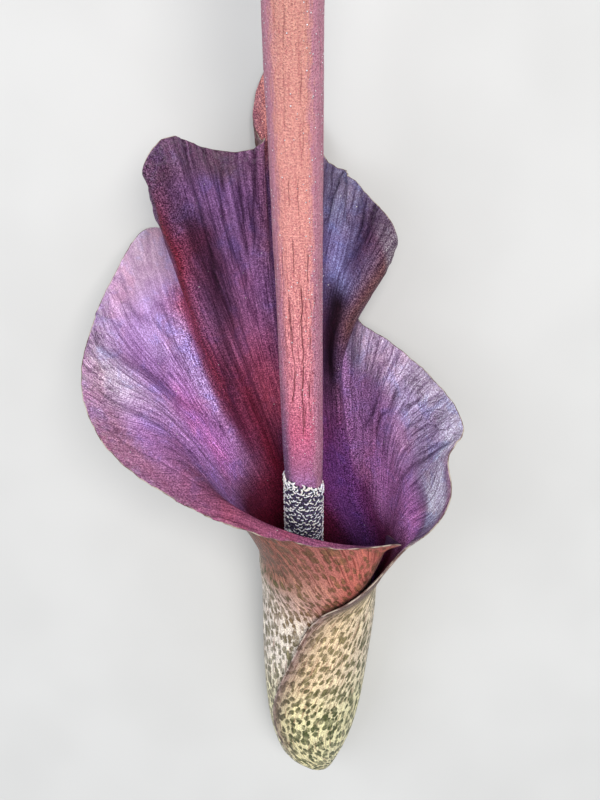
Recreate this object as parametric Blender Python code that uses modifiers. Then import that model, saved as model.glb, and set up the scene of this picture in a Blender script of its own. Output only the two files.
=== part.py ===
"""A cut flower head of the konjac plant, lying on its back.

The flower head is drawn upright first, in millimetres, in the bloom's own frame: u to the
right, v up along the spadix, w out of the open front. The spadix passes from its anthers to its
bare appendix at the zero point. lay_down then tilts the whole head back until its low folds
touch the surface, and turns millimetres into metres. Angles round the tube start at the front
and grow towards the right.
"""
import math

import bmesh
import bpy
import numpy as np

MILLIMETRE = 0.001
CONTACT_GAP = 0.3

# How the head lies: its tilt, the height of its zero point, and the shift that centres it.
REST_TILT = math.radians(14)
REST_HEIGHT = 65.0
FOOTPRINT_SHIFT = (14.1, -114.8)

# The spathe: one soft sheet, rolled to a tube below and opened to a fluted limb above.
WALL = 1.4
ROLL_PITCH = 2.5
FLARE_REACH = 130
TUCKED_FLARE = 0.93
TUCKED_START = 240
SPATHE_ROWS = 22
SPATHE_COLUMNS = 91
RUFFLE_HEIGHT = 1.0
RUFFLE_COUNT = 18

# The tube from its base to its throat: height, radius, angle of the outer edge, angle of the
# tucked inner edge, and how far the outer edge flares.
TUBE_LEVELS = (
    (-210, 11.7, 22, 382, 0),
    (-202, 17.5, -2, 408, 0),
    (-185, 23.0, -38, 430, 0),
    (-160, 27.0, -56, 445, 0),
    (-130, 29.0, -44, 450, 0),
    (-100, 29.8, -24, 448, 0),
    (-78, 30.0, -14, 446, 0),
    (-64, 29.5, 1, 444, 2),
    (-59, 29.4, 10, 443, 5),
    (-53, 29.6, 22, 442, 8),
    (-46, 29.6, 37, 441, 10.5),
    (-38, 29.6, 54, 440, 13),
)
# Where the middle of the tube stands at each height: height, u.
TUBE_LEAN = (
    (-210, 8.5), (-202, 6), (-180, 6), (-146, 7.2), (-114, 8), (-84, 9.5), (-54, 9), (-38, 8),
)
# The limb's ribs, from the free outer edge round the back to the tucked inner edge: name,
# angle at the throat, a point at mid height, and a point on the margin.
LIMB_RIBS = (
    ("free_edge", 78, (48.5, -31, 24), (54, -21.5, 28)),
    ("right_foot", 84, (58, -19, 23), (60, -9, 36)),
    ("right_low", 92, (56, -12, 14), (69, 17, 42)),
    ("right_notch", 101, (52, -3, 8), (62, 28, 26)),
    ("right_side", 110, (49, 7, 2), (73, 40, 32)),
    ("right_mid", 120, (46, 14, -8), (70, 44, 8)),
    ("right_high", 130, (41, 21, -18), (58, 49, -16)),
    ("right_top", 140, (34, 26, -28), (41, 56, -36)),
    ("right_turn", 148, (27, 26, -37), (28, 52, -59)),
    ("right_valley", 153, (22, 28, -43), (30, 58, -83.6)),
    ("right_fold", 157, (18, 33, -44), (22, 73, -95)),
    ("right_wing_edge", 160, (16, 41, -40), (46, 80, -56)),
    ("right_wing", 166, (14, 52, -38), (48, 111, -34)),
    ("right_wing_top", 172, (11, 56, -42), (32, 120, -54)),
    ("right_crest", 177, (8, 57, -50), (20, 134, -58)),
    ("back_right", 181, (4, 57, -54), (12, 126, -84)),
    ("tip_right", 185, (0, 58, -58), (8, 152, -103.5)),
    ("apex", 188, (-4, 58, -60), (-9, 188, -112.5)),
    ("tip_left", 191, (-8, 58, -59), (-27, 151.5, -102.5)),
    ("pleat_back", 194, (-12, 58, -59), (-22, 134, -92)),
    ("pleat_crest", 197, (-15, 58, -54), (-12, 147, -71)),
    ("back_left", 201, (-19, 58, -54), (-28, 132, -79)),
    ("left_wing_top", 208, (-27, 57, -54), (-46, 141, -66)),
    ("left_wing", 216, (-36, 62, -44), (-60, 154, -42)),
    ("left_wing_out", 223, (-44, 63, -32), (-72, 140, -30)),
    ("left_wing_edge", 230, (-49, 55, -32), (-69, 112, -48)),
    ("left_valley", 237, (-55, 42, -46.3), (-62, 84, -102.6)),
    ("left_turn", 243, (-60, 40, -46), (-80, 102, -84)),
    ("left_top", 250, (-64, 39, -36), (-92, 82, -46)),
    ("left_high", 258, (-66, 37, -22), (-100, 64, -14)),
    ("left_side", 268, (-64, 33, -8), (-100, 50, 8)),
    ("left_low", 280, (-59, 29, 8), (-89, 34, 28)),
    ("left_foot", 294, (-50, 22, 22), (-64, 20, 42)),
    ("lip_left", 310, (-37, 13, 32), (-39, 9, 48)),
    ("lip_front_left", 328, (-20, 1, 36), (-17, -5, 44)),
    ("lip_front", 350, (0, -9, 37), (6, -13, 41)),
    ("lip_front_right", 376, (23, -19, 33), (28, -20, 36)),
    ("lip_corner", 391, (37, -27, 26.5), (46, -20.5, 29)),
    ("tucked_turn", 406, (42.5, -33.5, 18.5), (50.5, -29.5, 22)),
    ("tucked_edge", 440, (43, -36.5, 6), (44, -34.5, 6.5)),
)
MARGIN_BLEND = 0.58

# The spadix: heights where each zone starts and ends, and how its axis leans to the right.
PEDUNCLE_FOOT = -211.5
FEMALE_FOOT = -184
MALE_FOOT = -92
APPENDIX_FOOT = 0
APPENDIX_TIP = 450
SPADIX_LEAN = ((-215, 8.5), (-180, 8), (-114, 5.5), (-40, 2), (0, 1.7), (200, -2.7), (450, -4))
PEDUNCLE_RADIUS = 9.2
PEDUNCLE_BEVEL = 0.8

# Pistils and anthers stand in staggered rows: radius of the core, height of a stud, studs round
# the core, and the pitch of the rows.
PISTILS = (9.0, 2.4, 14, 5.6)
ANTHERS = (8.6, 1.3, 18, 4.0)

# The appendix from foot to tip: height, radius.
APPENDIX_PROFILE = (
    (0, 9.4), (6, 10.0), (40, 10.0), (90, 10.3), (150, 11.2), (205, 11.8), (260, 11.8), (320, 10.9),
    (370, 9.4), (410, 7.4), (435, 5.2), (446, 3.0), (450, 1.0),
)
APPENDIX_SIDES = 28
APPENDIX_RINGS = 40
APPENDIX_FURROWS = 7
APPENDIX_FURROW_DEPTH = 0.25

SPATHE_COLOUR = (0.26, 0.09, 0.25)
APPENDIX_COLOUR = (0.56, 0.22, 0.19)
ANTHER_COLOUR = (0.62, 0.56, 0.50)
PISTIL_COLOUR = (0.30, 0.10, 0.16)
PEDUNCLE_COLOUR = (0.42, 0.45, 0.24)
PLANT_ROUGHNESS = 0.6


def clear_scene():
    """Start from an empty scene."""
    for thing in list(bpy.data.objects):
        bpy.data.objects.remove(thing)


def plant_material(name, colour):
    """A plain satin plant surface of one colour."""
    material = bpy.data.materials.new(name)
    material.use_nodes = True
    shader = material.node_tree.nodes["Principled BSDF"]
    shader.inputs["Base Color"].default_value = (*colour, 1)
    shader.inputs["Roughness"].default_value = PLANT_ROUGHNESS
    shader.inputs["Metallic"].default_value = 0
    return material


def lay_down(points):
    """Tilt upright points back by REST_TILT about u, shift them, and turn them into metres."""
    u, v, w = np.moveaxis(np.asarray(points, float), -1, 0)
    x = u + FOOTPRINT_SHIFT[0]
    y = v * math.cos(REST_TILT) - w * math.sin(REST_TILT) + FOOTPRINT_SHIFT[1]
    z = v * math.sin(REST_TILT) + w * math.cos(REST_TILT) + REST_HEIGHT
    return np.stack([x, y, z], -1) * MILLIMETRE


def add_piece(name, colour, points, faces, collection):
    """Make one named piece from its points in metres and its faces."""
    mesh = bpy.data.meshes.new(name)
    mesh.from_pydata(points.reshape(-1, 3).tolist(), [], faces)
    mesh.materials.append(plant_material(name, colour))
    mesh.shade_smooth()
    piece = bpy.data.objects.new(name, mesh)
    collection.objects.link(piece)
    return piece


def spline_weights(controls, samples):
    """How much each control point counts in each sample of a uniform cubic B-spline.

    A phantom point past each end, opposite the last but one, makes the curve reach its ends.
    """
    place = np.linspace(0, controls - 1, samples)
    span = np.minimum(place.astype(int), controls - 2)
    t = place - span
    basis = ((1 - t) ** 3, 3 * t**3 - 6 * t**2 + 4, -3 * t**3 + 3 * t**2 + 3 * t + 1, t**3)
    weights = np.zeros((samples, controls + 2))
    for offset, share in enumerate(basis):
        weights[np.arange(samples), span + offset] += share / 6
    weights[:, 1] += 2 * weights[:, 0]
    weights[:, 2] -= weights[:, 0]
    weights[:, -2] += 2 * weights[:, -1]
    weights[:, -3] -= weights[:, -1]
    return weights[:, 1:-1]


def tube_level(height, radius, outer_angle, inner_angle, flare, share):
    """One level of the rolled tube: a spiral whose radius shrinks by ROLL_PITCH each turn.

    The outer edge flares, less and less up to FLARE_REACH degrees in. The tucked part, a full
    turn further in, lies against it, so from TUCKED_START on it flares TUCKED_FLARE times as far.
    """
    turn = share * (inner_angle - outer_angle)
    angle = np.radians(outer_angle + turn)
    outer_flare = np.clip(1 - turn / FLARE_REACH, 0, 1)
    rise = (turn - TUCKED_START) / (360 - TUCKED_START)
    tucked_flare = TUCKED_FLARE * np.clip(np.minimum(rise, 1 - (turn - 360) / FLARE_REACH), 0, 1)
    reach = radius + ROLL_PITCH * (0.5 - turn / 360) + flare * (outer_flare + tucked_flare)
    middle = np.interp(height, *zip(*TUBE_LEAN))
    level = np.full_like(angle, height)
    return np.stack([middle + reach * np.sin(angle), level, reach * np.cos(angle)], -1)


def spathe_surface(rows, columns):
    """The middle of the spathe's wall: a B-spline sheet over the tube's levels and the ribs."""
    throat = np.array([rib[1] for rib in LIMB_RIBS], float)
    share = (throat - throat[0]) / (throat[-1] - throat[0])
    net = [tube_level(*level, share) for level in TUBE_LEVELS]
    middle = np.array([rib[2] for rib in LIMB_RIBS], float)
    margin = np.array([rib[3] for rib in LIMB_RIBS], float)
    net += [middle, middle * (1 - MARGIN_BLEND) + margin * MARGIN_BLEND, margin]
    up = spline_weights(len(net), rows)
    across = spline_weights(len(LIMB_RIBS), columns)
    return np.einsum("ri,cj,ijk->rck", up, across, np.array(net))


def ruffled(sheet):
    """Push the sheet in and out in small waves that grow towards the margin."""
    along = np.gradient(sheet, axis=1)
    upward = np.gradient(sheet, axis=0)
    normal = np.cross(along, upward)
    normal /= np.linalg.norm(normal, axis=-1, keepdims=True)
    rows, columns = sheet.shape[:2]
    up = np.linspace(0, 1, rows)[:, None]
    across = np.linspace(0, 1, columns)[None, :]
    strength = np.clip((up - 0.8) / 0.2, 0, 1) ** 2 * np.sin(math.pi * across) ** 2
    wave = RUFFLE_HEIGHT * strength * np.sin(2 * math.pi * RUFFLE_COUNT * across)
    return sheet + normal * wave[..., None]


def make_spathe(collection):
    """The spathe: its middle sheet, pressed flat where it meets the surface, then thickened."""
    sheet = lay_down(ruffled(spathe_surface(SPATHE_ROWS, SPATHE_COLUMNS)))
    sheet[..., 2] = np.maximum(sheet[..., 2], WALL / 2 * MILLIMETRE)
    faces = []
    for row in range(SPATHE_ROWS - 1):
        for column in range(SPATHE_COLUMNS - 1):
            low = row * SPATHE_COLUMNS + column
            high = low + SPATHE_COLUMNS
            if column < SPATHE_COLUMNS // 2:
                faces += [(low, low + 1, high), (low + 1, high + 1, high)]
            else:
                faces += [(low, low + 1, high + 1), (low, high + 1, high)]
    spathe = add_piece("spathe", SPATHE_COLOUR, sheet, faces, collection)
    wall = spathe.modifiers.new("wall", "SOLIDIFY")
    wall.thickness = WALL * MILLIMETRE
    wall.offset = 0
    return spathe


def column_faces(rings, sides):
    """Faces of a stack of closed rings, with a flat cap at each end."""
    faces = []
    for ring in range(rings - 1):
        for side in range(sides):
            low = ring * sides + side
            next_low = ring * sides + (side + 1) % sides
            faces.append((low, next_low, next_low + sides, low + sides))
    faces.append(tuple(reversed(range(sides))))
    top = (rings - 1) * sides
    faces.append(tuple(range(top, top + sides)))
    return faces


def make_column(name, colour, heights, angles, radii, collection):
    """A solid of level rings that follow the leaning axis of the spadix."""
    middle = np.interp(heights, *zip(*SPADIX_LEAN))[:, None]
    u = middle + radii * np.sin(angles)
    v = np.broadcast_to(heights[:, None], u.shape)
    w = radii * np.cos(angles)
    faces = column_faces(len(heights), len(angles))
    return add_piece(name, colour, lay_down(np.stack([u, v, w], -1)), faces, collection)


def make_studded_zone(name, colour, foot, top, studs, collection):
    """A zone of the spadix whose florets stand out of its core in staggered rows."""
    core, stud_height, around, pitch = studs
    low = foot + CONTACT_GAP / 2
    high = top - CONTACT_GAP / 2
    levels = 2 * round((high - low) / pitch) + 1
    heights = np.linspace(low, high, levels)
    angles = np.arange(2 * around) * math.pi / around
    row_wave = np.cos(math.pi / 2 * np.arange(levels))[:, None]
    radii = core + stud_height * np.clip(np.cos(around * angles) * row_wave, 0, 1)
    return make_column(name, colour, heights, angles, radii, collection)


def make_appendix(collection):
    """The bare, faintly furrowed appendix, a long blunt cone above the anthers."""
    ends = APPENDIX_FOOT + CONTACT_GAP / 2, APPENDIX_TIP
    share = np.linspace(0, 1, APPENDIX_RINGS)
    heights = ends[0] + (ends[1] - ends[0]) * (1 - (1 - share) ** 1.4)
    angles = np.arange(APPENDIX_SIDES) * 2 * math.pi / APPENDIX_SIDES
    radius = np.interp(heights, *zip(*APPENDIX_PROFILE))[:, None]
    furrow = np.cos(APPENDIX_FURROWS * angles) * np.sin(math.pi * share[:, None])
    radii = radius - APPENDIX_FURROW_DEPTH * (1 + furrow) / 2
    return make_column("appendix", APPENDIX_COLOUR, heights, angles, radii, collection)


def make_peduncle(collection):
    """The stalk's cut stub, a short bevelled plug that closes the foot of the tube."""
    length = FEMALE_FOOT - PEDUNCLE_FOOT - CONTACT_GAP / 2
    mesh = bpy.data.meshes.new("peduncle")
    shape = bmesh.new()
    bmesh.ops.create_cone(
        shape, cap_ends=True, segments=24, depth=length * MILLIMETRE,
        radius1=PEDUNCLE_RADIUS * MILLIMETRE, radius2=PEDUNCLE_RADIUS * MILLIMETRE,
    )
    shape.to_mesh(mesh)
    shape.free()
    mesh.materials.append(plant_material("peduncle", PEDUNCLE_COLOUR))
    stub = bpy.data.objects.new("peduncle", mesh)
    collection.objects.link(stub)
    centre = PEDUNCLE_FOOT + length / 2
    stub.location = lay_down((np.interp(centre, *zip(*SPADIX_LEAN)), centre, 0))
    stub.rotation_euler = (REST_TILT - math.pi / 2, 0, 0)
    edge = stub.modifiers.new("cut_edge", "BEVEL")
    edge.width = PEDUNCLE_BEVEL * MILLIMETRE
    edge.segments = 2
    return stub


def make_flower_head():
    """All five pieces of the flower head."""
    clear_scene()
    collection = bpy.data.collections.new("konjac_flower_head")
    bpy.context.scene.collection.children.link(collection)
    make_peduncle(collection)
    make_spathe(collection)
    make_studded_zone("female_zone", PISTIL_COLOUR, FEMALE_FOOT, MALE_FOOT, PISTILS, collection)
    make_studded_zone("male_zone", ANTHER_COLOUR, MALE_FOOT, APPENDIX_FOOT, ANTHERS, collection)
    make_appendix(collection)


make_flower_head()
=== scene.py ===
# %% [markdown]
# # A picked konjac flower head
#
# A konjac sends up one big flower head. A leathery bract, the spathe, is rolled to a tube below
# and opens to a fluted hood. A long bare spike, the appendix, rises out of it, above a band of
# anthers and a band of pistils that hide in the tube. This one is cut and lies on its back.
#
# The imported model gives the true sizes. Every piece here repeats its drawing in millimetres, in
# the bloom's own frame: u to the right, v up along the spike, w out of the open front. The script
# works the surfaces out finely with numpy and lays them down at the end, in metres.

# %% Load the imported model
import math

import bpy
import numpy as np
from mathutils import Matrix, Vector


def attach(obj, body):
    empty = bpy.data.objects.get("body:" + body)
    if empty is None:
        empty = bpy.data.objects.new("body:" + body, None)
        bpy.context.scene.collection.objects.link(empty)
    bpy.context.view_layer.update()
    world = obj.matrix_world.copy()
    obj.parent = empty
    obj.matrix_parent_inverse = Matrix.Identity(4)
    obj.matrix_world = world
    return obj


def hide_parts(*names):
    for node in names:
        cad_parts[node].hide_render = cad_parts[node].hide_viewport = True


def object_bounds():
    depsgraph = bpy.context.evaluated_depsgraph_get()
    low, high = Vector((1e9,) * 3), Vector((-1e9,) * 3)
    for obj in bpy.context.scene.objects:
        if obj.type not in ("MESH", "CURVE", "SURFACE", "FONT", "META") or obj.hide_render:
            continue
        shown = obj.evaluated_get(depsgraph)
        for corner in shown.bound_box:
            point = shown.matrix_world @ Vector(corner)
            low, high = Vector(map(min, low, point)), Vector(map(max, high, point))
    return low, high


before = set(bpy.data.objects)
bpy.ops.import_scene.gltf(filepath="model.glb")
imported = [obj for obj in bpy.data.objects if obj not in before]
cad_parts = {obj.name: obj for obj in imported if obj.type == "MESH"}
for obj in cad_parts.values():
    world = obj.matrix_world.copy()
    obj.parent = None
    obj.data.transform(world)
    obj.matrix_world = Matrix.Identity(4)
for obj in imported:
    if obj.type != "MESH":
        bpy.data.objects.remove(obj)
cad_low, cad_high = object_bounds()
print("packed model, metres:", [round(high - low, 4) for low, high in zip(cad_low, cad_high)])

# %% [markdown]
# ## Laying the bloom down
#
# The bloom is drawn upright, because tubes and spikes are easy to think about that way. One
# function then tilts every point back by the same angle and moves it onto the surface, so no
# piece has to be fitted to another afterwards.

# %% How the head lies
MILLIMETRE = 0.001
REST_TILT = math.radians(14)
REST_HEIGHT = 65.0
FOOTPRINT_SHIFT = (14.1, -114.8)


def lay_down(points):
    """Tilt upright points back by REST_TILT about u, shift them, and turn them into metres."""
    u, v, w = np.moveaxis(np.asarray(points, float), -1, 0)
    x = u + FOOTPRINT_SHIFT[0]
    y = v * math.cos(REST_TILT) - w * math.sin(REST_TILT) + FOOTPRINT_SHIFT[1]
    z = v * math.sin(REST_TILT) + w * math.cos(REST_TILT) + REST_HEIGHT
    return np.stack([x, y, z], -1) * MILLIMETRE


def kept_in_frame(points):
    """Points in metres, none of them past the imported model's box."""
    return np.clip(points, np.array(cad_low), np.array(cad_high))


def ramp(value, start, end):
    """A smooth rise from 0 at start to 1 at end: 3 t squared minus 2 t cubed."""
    t = np.clip((value - start) / (end - start), 0, 1)
    return t * t * (3 - 2 * t)


def bell(distance, half_width):
    """1 in the middle, falling off on both sides: e to the minus (distance / half width) squared."""
    return np.exp(-((distance / half_width) ** 2))


def unit(vectors):
    """The same directions, one long."""
    return vectors / np.linalg.norm(vectors, axis=-1, keepdims=True)


HILL_GRID = 256


def hills(x, y, seed):
    """Smooth random hills between -1 and 1, about one unit apart.

    Random heights stand on a grid of whole numbers, and a fifth-power step joins them.
    """
    heights = np.random.default_rng(seed).uniform(-1, 1, (HILL_GRID, HILL_GRID))
    column, row = np.floor(x).astype(int), np.floor(y).astype(int)
    across, along = (t**3 * (t * (t * 6 - 15) + 10) for t in (x - column, y - row))
    left, right = column % HILL_GRID, (column + 1) % HILL_GRID
    near, far = (
        heights[line % HILL_GRID, left] * (1 - across) + heights[line % HILL_GRID, right] * across
        for line in (row, row + 1)
    )
    return near * (1 - along) + far * along


def rough_hills(x, y, seed, layers=3):
    """Hills on hills: each layer is half as wide and half as high as the one before."""
    total = sum(hills(x * 2**k, y * 2**k, seed + k) / 2**k for k in range(layers))
    return total / (2 - 2.0 ** (1 - layers))


# %% [markdown]
# ## Meshes and materials from arrays
#
# All the pieces are grids of points, so two small helpers serve them all. One turns a grid's
# rows and columns into faces, the other makes the object, stores what was painted on its points
# as attributes, and hides the imported nodes that it stands for. The materials are built from
# shader nodes, and a few more helpers say in one word what takes Blender several lines: a noise,
# a smooth step, a tint laid over a colour.


# %% Faces and pieces
def grid_faces(rows, columns, closed=False):
    """Faces of a grid of points, wrapped round if closed. They face along columns x rows."""
    row, column = np.meshgrid(np.arange(rows - 1), np.arange(columns - (not closed)), indexing="ij")
    following = (column + 1) % columns
    corners = (row, column), (row, following), (row + 1, following), (row + 1, column)
    return np.stack([r * columns + c for r, c in corners], -1).reshape(-1, 4)


def make_piece(name, points, faces, materials, stands_for=(), face_material=None, painted=None):
    """Make one piece from points in metres, and put it in the frame."""
    mesh = bpy.data.meshes.new(name)
    mesh.from_pydata(points.reshape(-1, 3).tolist(), [], faces)
    for material in materials:
        mesh.materials.append(material)
    if face_material is not None:
        mesh.polygons.foreach_set("material_index", np.asarray(face_material, np.int32))
    for label, values in (painted or {}).items():
        values = np.asarray(values, np.float32)
        kind, field = ("FLOAT_VECTOR", "vector") if label == "flow" else ("FLOAT", "value")
        if values.ndim == 2 and label != "flow":
            kind, field = "FLOAT_COLOR", "color"
            values = np.concatenate([values, np.ones((len(values), 1), np.float32)], 1)
        mesh.attributes.new(label, kind, "POINT").data.foreach_set(field, values.ravel())
    mesh.shade_smooth()
    piece = bpy.data.objects.new(name, mesh)
    bpy.context.scene.collection.objects.link(piece)
    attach(piece, "root")
    if stands_for:
        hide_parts(*stands_for)
    triangles = sum(len(face) - 2 for face in faces)
    print(f"{name}: {triangles} triangles")


# %% Node helpers
def add_node(tree, kind, inputs=None, **settings):
    """Add a shader node. An input that is a socket is linked, any other value is set."""
    made = tree.nodes.new(kind)
    for label, value in settings.items():
        setattr(made, label, value)
    for label, value in (inputs or {}).items():
        if isinstance(value, bpy.types.NodeSocket):
            tree.links.new(value, made.inputs[label])
        else:
            made.inputs[label].default_value = value
    return made


def painted_on(tree, label, output="Fac"):
    """What was painted on the points under that name: a number, a Color or a Vector."""
    return add_node(tree, "ShaderNodeAttribute", attribute_name=label).outputs[output]


def maths(tree, operation, first, second):
    """One sum on two numbers."""
    return add_node(tree, "ShaderNodeMath", {0: first, 1: second}, operation=operation).outputs[0]


def times(tree, first, *others):
    """The product of some numbers."""
    for other in others:
        first = maths(tree, "MULTIPLY", first, other)
    return first


def stretched(tree, vector, scale):
    """A vector times a scale along each axis."""
    return add_node(tree, "ShaderNodeVectorMath", {0: vector, 1: scale}, operation="MULTIPLY").outputs[0]


def noise(tree, vector, scale, detail=3.0, roughness=0.55, distortion=0.0):
    """Blender's noise, from 0 to 1. Its scale is one number or one along each axis."""
    if isinstance(scale, tuple):
        vector, scale = stretched(tree, vector, scale), 1.0
    inputs = {"Vector": vector, "Scale": scale, "Detail": detail, "Roughness": roughness}
    inputs["Distortion"] = distortion
    return add_node(tree, "ShaderNodeTexNoise", inputs).outputs[0]


def cells(tree, vector, scale, randomness=1.0, dimensions="3D"):
    """Scattered points: the distance to the nearest one, and a random colour for each."""
    inputs = {"Vector": vector, "Scale": scale, "Randomness": randomness}
    made = add_node(tree, "ShaderNodeTexVoronoi", inputs, voronoi_dimensions=dimensions)
    return made.outputs["Distance"], made.outputs["Color"]


def remap(tree, value, low, high, to_low=0.0, to_high=1.0):
    """A smooth step from to_low at low to to_high at high."""
    inputs = {"Value": value, "From Min": low, "From Max": high, "To Min": to_low, "To Max": to_high}
    return add_node(tree, "ShaderNodeMapRange", inputs, interpolation_type="SMOOTHSTEP").outputs[0]


# %% Helpers for lines and tints
def threads(tree, value, width):
    """1 on the lines where a noise passes its middle value, and 0 from width away."""
    off_middle = maths(tree, "ABSOLUTE", maths(tree, "SUBTRACT", value, 0.5), 0.0)
    return remap(tree, off_middle, 0.0, width, 1.0, 0.0)


def blend(tree, share, below, above, mode="MIX"):
    """Lay one colour over another. A colour is a socket or three numbers."""
    below, above = (c if isinstance(c, bpy.types.NodeSocket) else (*c, 1) for c in (below, above))
    inputs = {0: share, 6: below, 7: above}
    mixed = add_node(tree, "ShaderNodeMix", inputs, data_type="RGBA", blend_type=mode)
    return mixed.outputs[2]


def tinted(tree, colour, share, tint, strength=1.0):
    """Multiply a colour by a tint where share is 1. A tint above 1 lightens."""
    if strength != 1.0:
        share = times(tree, share, strength)
    return blend(tree, share, colour, tint, "MULTIPLY")


def tint_layers(tree, colour, *layers):
    """Tint a colour again and again.

    Each layer has a value, the two numbers between which its share goes from 0 to 1, a tint,
    its strength, and where one is given a painted number that the share is multiplied by.
    """
    for value, start, end, tint, strength, *depth in layers:
        share = times(tree, remap(tree, value, start, end), *depth)
        colour = tinted(tree, colour, share, tint, strength)
    return colour


# %% Beginning and dressing a material
# How deep light goes under a skin, in metres.
SKIN_DEPTH = 0.002


def begin_material(name, roughness, sheen=0.0, sheen_tint=(1, 1, 1), gloss=0.5, subsurface=0.0):
    """A Principled material, its tree, and Object coordinates in millimetres."""
    material = bpy.data.materials.new(name)
    material.use_nodes = True
    tree = material.node_tree
    shader = tree.nodes["Principled BSDF"]
    shader.inputs["Roughness"].default_value = roughness
    shader.inputs["Sheen Weight"].default_value = sheen
    shader.inputs["Sheen Tint"].default_value = (*sheen_tint, 1)
    shader.inputs["Specular IOR Level"].default_value = gloss
    shader.inputs["Subsurface Weight"].default_value = subsurface
    shader.inputs["Subsurface Scale"].default_value = SKIN_DEPTH
    place = add_node(tree, "ShaderNodeTexCoord").outputs["Object"]
    return material, tree, stretched(tree, place, (1000, 1000, 1000))


def dress(material, colour, *reliefs):
    """Give a material its colour and its relief: heights from 0 to 1, each with millimetres."""
    tree = material.node_tree
    shader = tree.nodes["Principled BSDF"]
    tree.links.new(colour, shader.inputs["Base Color"])
    for height, distance in reliefs:
        inputs = {"Height": height, "Distance": distance * MILLIMETRE, "Strength": 1.0}
        if shader.inputs["Normal"].is_linked:
            inputs["Normal"] = shader.inputs["Normal"].links[0].from_socket
        raised = add_node(tree, "ShaderNodeBump", inputs).outputs[0]
        tree.links.new(raised, shader.inputs["Normal"])
    return material


# %% [markdown]
# ## The camera
#
# The photo looks slightly down on the upright bloom. The bloom now lies on its back, so the same
# eye stands above it. The eye is placed in the bloom's own frame and laid down with it.

# %% Camera
EYE = (0, 230.0, 329.1)
EYE_DROP = math.radians(30)
FOCAL_PIXELS = 820
IMAGE_HEIGHT = 800
SENSOR = 36.0


def add_camera():
    """A camera at EYE that looks down by EYE_DROP, in the bloom's frame, then laid down."""
    data = bpy.data.cameras.new("camera")
    data.sensor_width = SENSOR
    data.lens = FOCAL_PIXELS / IMAGE_HEIGHT * SENSOR
    data.clip_start = 0.01
    camera = bpy.data.objects.new("camera", data)
    bpy.context.scene.collection.objects.link(camera)
    turn = EYE_DROP - REST_TILT
    right = (1, 0, 0)
    up = (0, math.cos(turn), -math.sin(turn))
    back = (0, math.sin(turn), math.cos(turn))
    turned = Matrix((right, up, back)).transposed().to_4x4()
    camera.matrix_world = Matrix.Translation(lay_down(EYE)) @ turned
    bpy.context.scene.camera = camera
    return camera


camera = add_camera()
print("camera stands at", [round(x, 3) for x in camera.location])

# %% [markdown]
# ## The shape of the spathe
#
# The spathe is one soft sheet. A few levels describe the rolled tube, and forty ribs describe how
# the hood flutes. A B-spline runs smoothly through that net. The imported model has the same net,
# so the fine sheet lies exactly on it, only with many more points.

# %% The net of the spathe
# Millimetres from one turn of the roll to the next, then how the flare of the outer edge fades
# in degrees, and the share of it that the tucked part takes, from TUCKED_START degrees in.
ROLL_PITCH = 2.5
FLARE_REACH = 130
TUCKED_FLARE = 0.93
TUCKED_START = 240

# Height, radius, angle of the outer edge, angle of the tucked edge, flare of the outer edge.
TUBE_LEVELS = (
    (-210, 11.7, 22, 382, 0),
    (-202, 17.5, -2, 408, 0),
    (-185, 23.0, -38, 430, 0),
    (-160, 27.0, -56, 445, 0),
    (-130, 29.0, -44, 450, 0),
    (-100, 29.8, -24, 448, 0),
    (-78, 30.0, -14, 446, 0),
    (-64, 29.5, 1, 444, 2),
    (-59, 29.4, 10, 443, 5),
    (-53, 29.6, 22, 442, 8),
    (-46, 29.6, 37, 441, 10.5),
    (-38, 29.6, 54, 440, 13),
)
TUBE_LEAN = (
    (-210, 8.5), (-202, 6), (-180, 6), (-146, 7.2), (-114, 8), (-84, 9.5), (-54, 9), (-38, 8),
)
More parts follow.
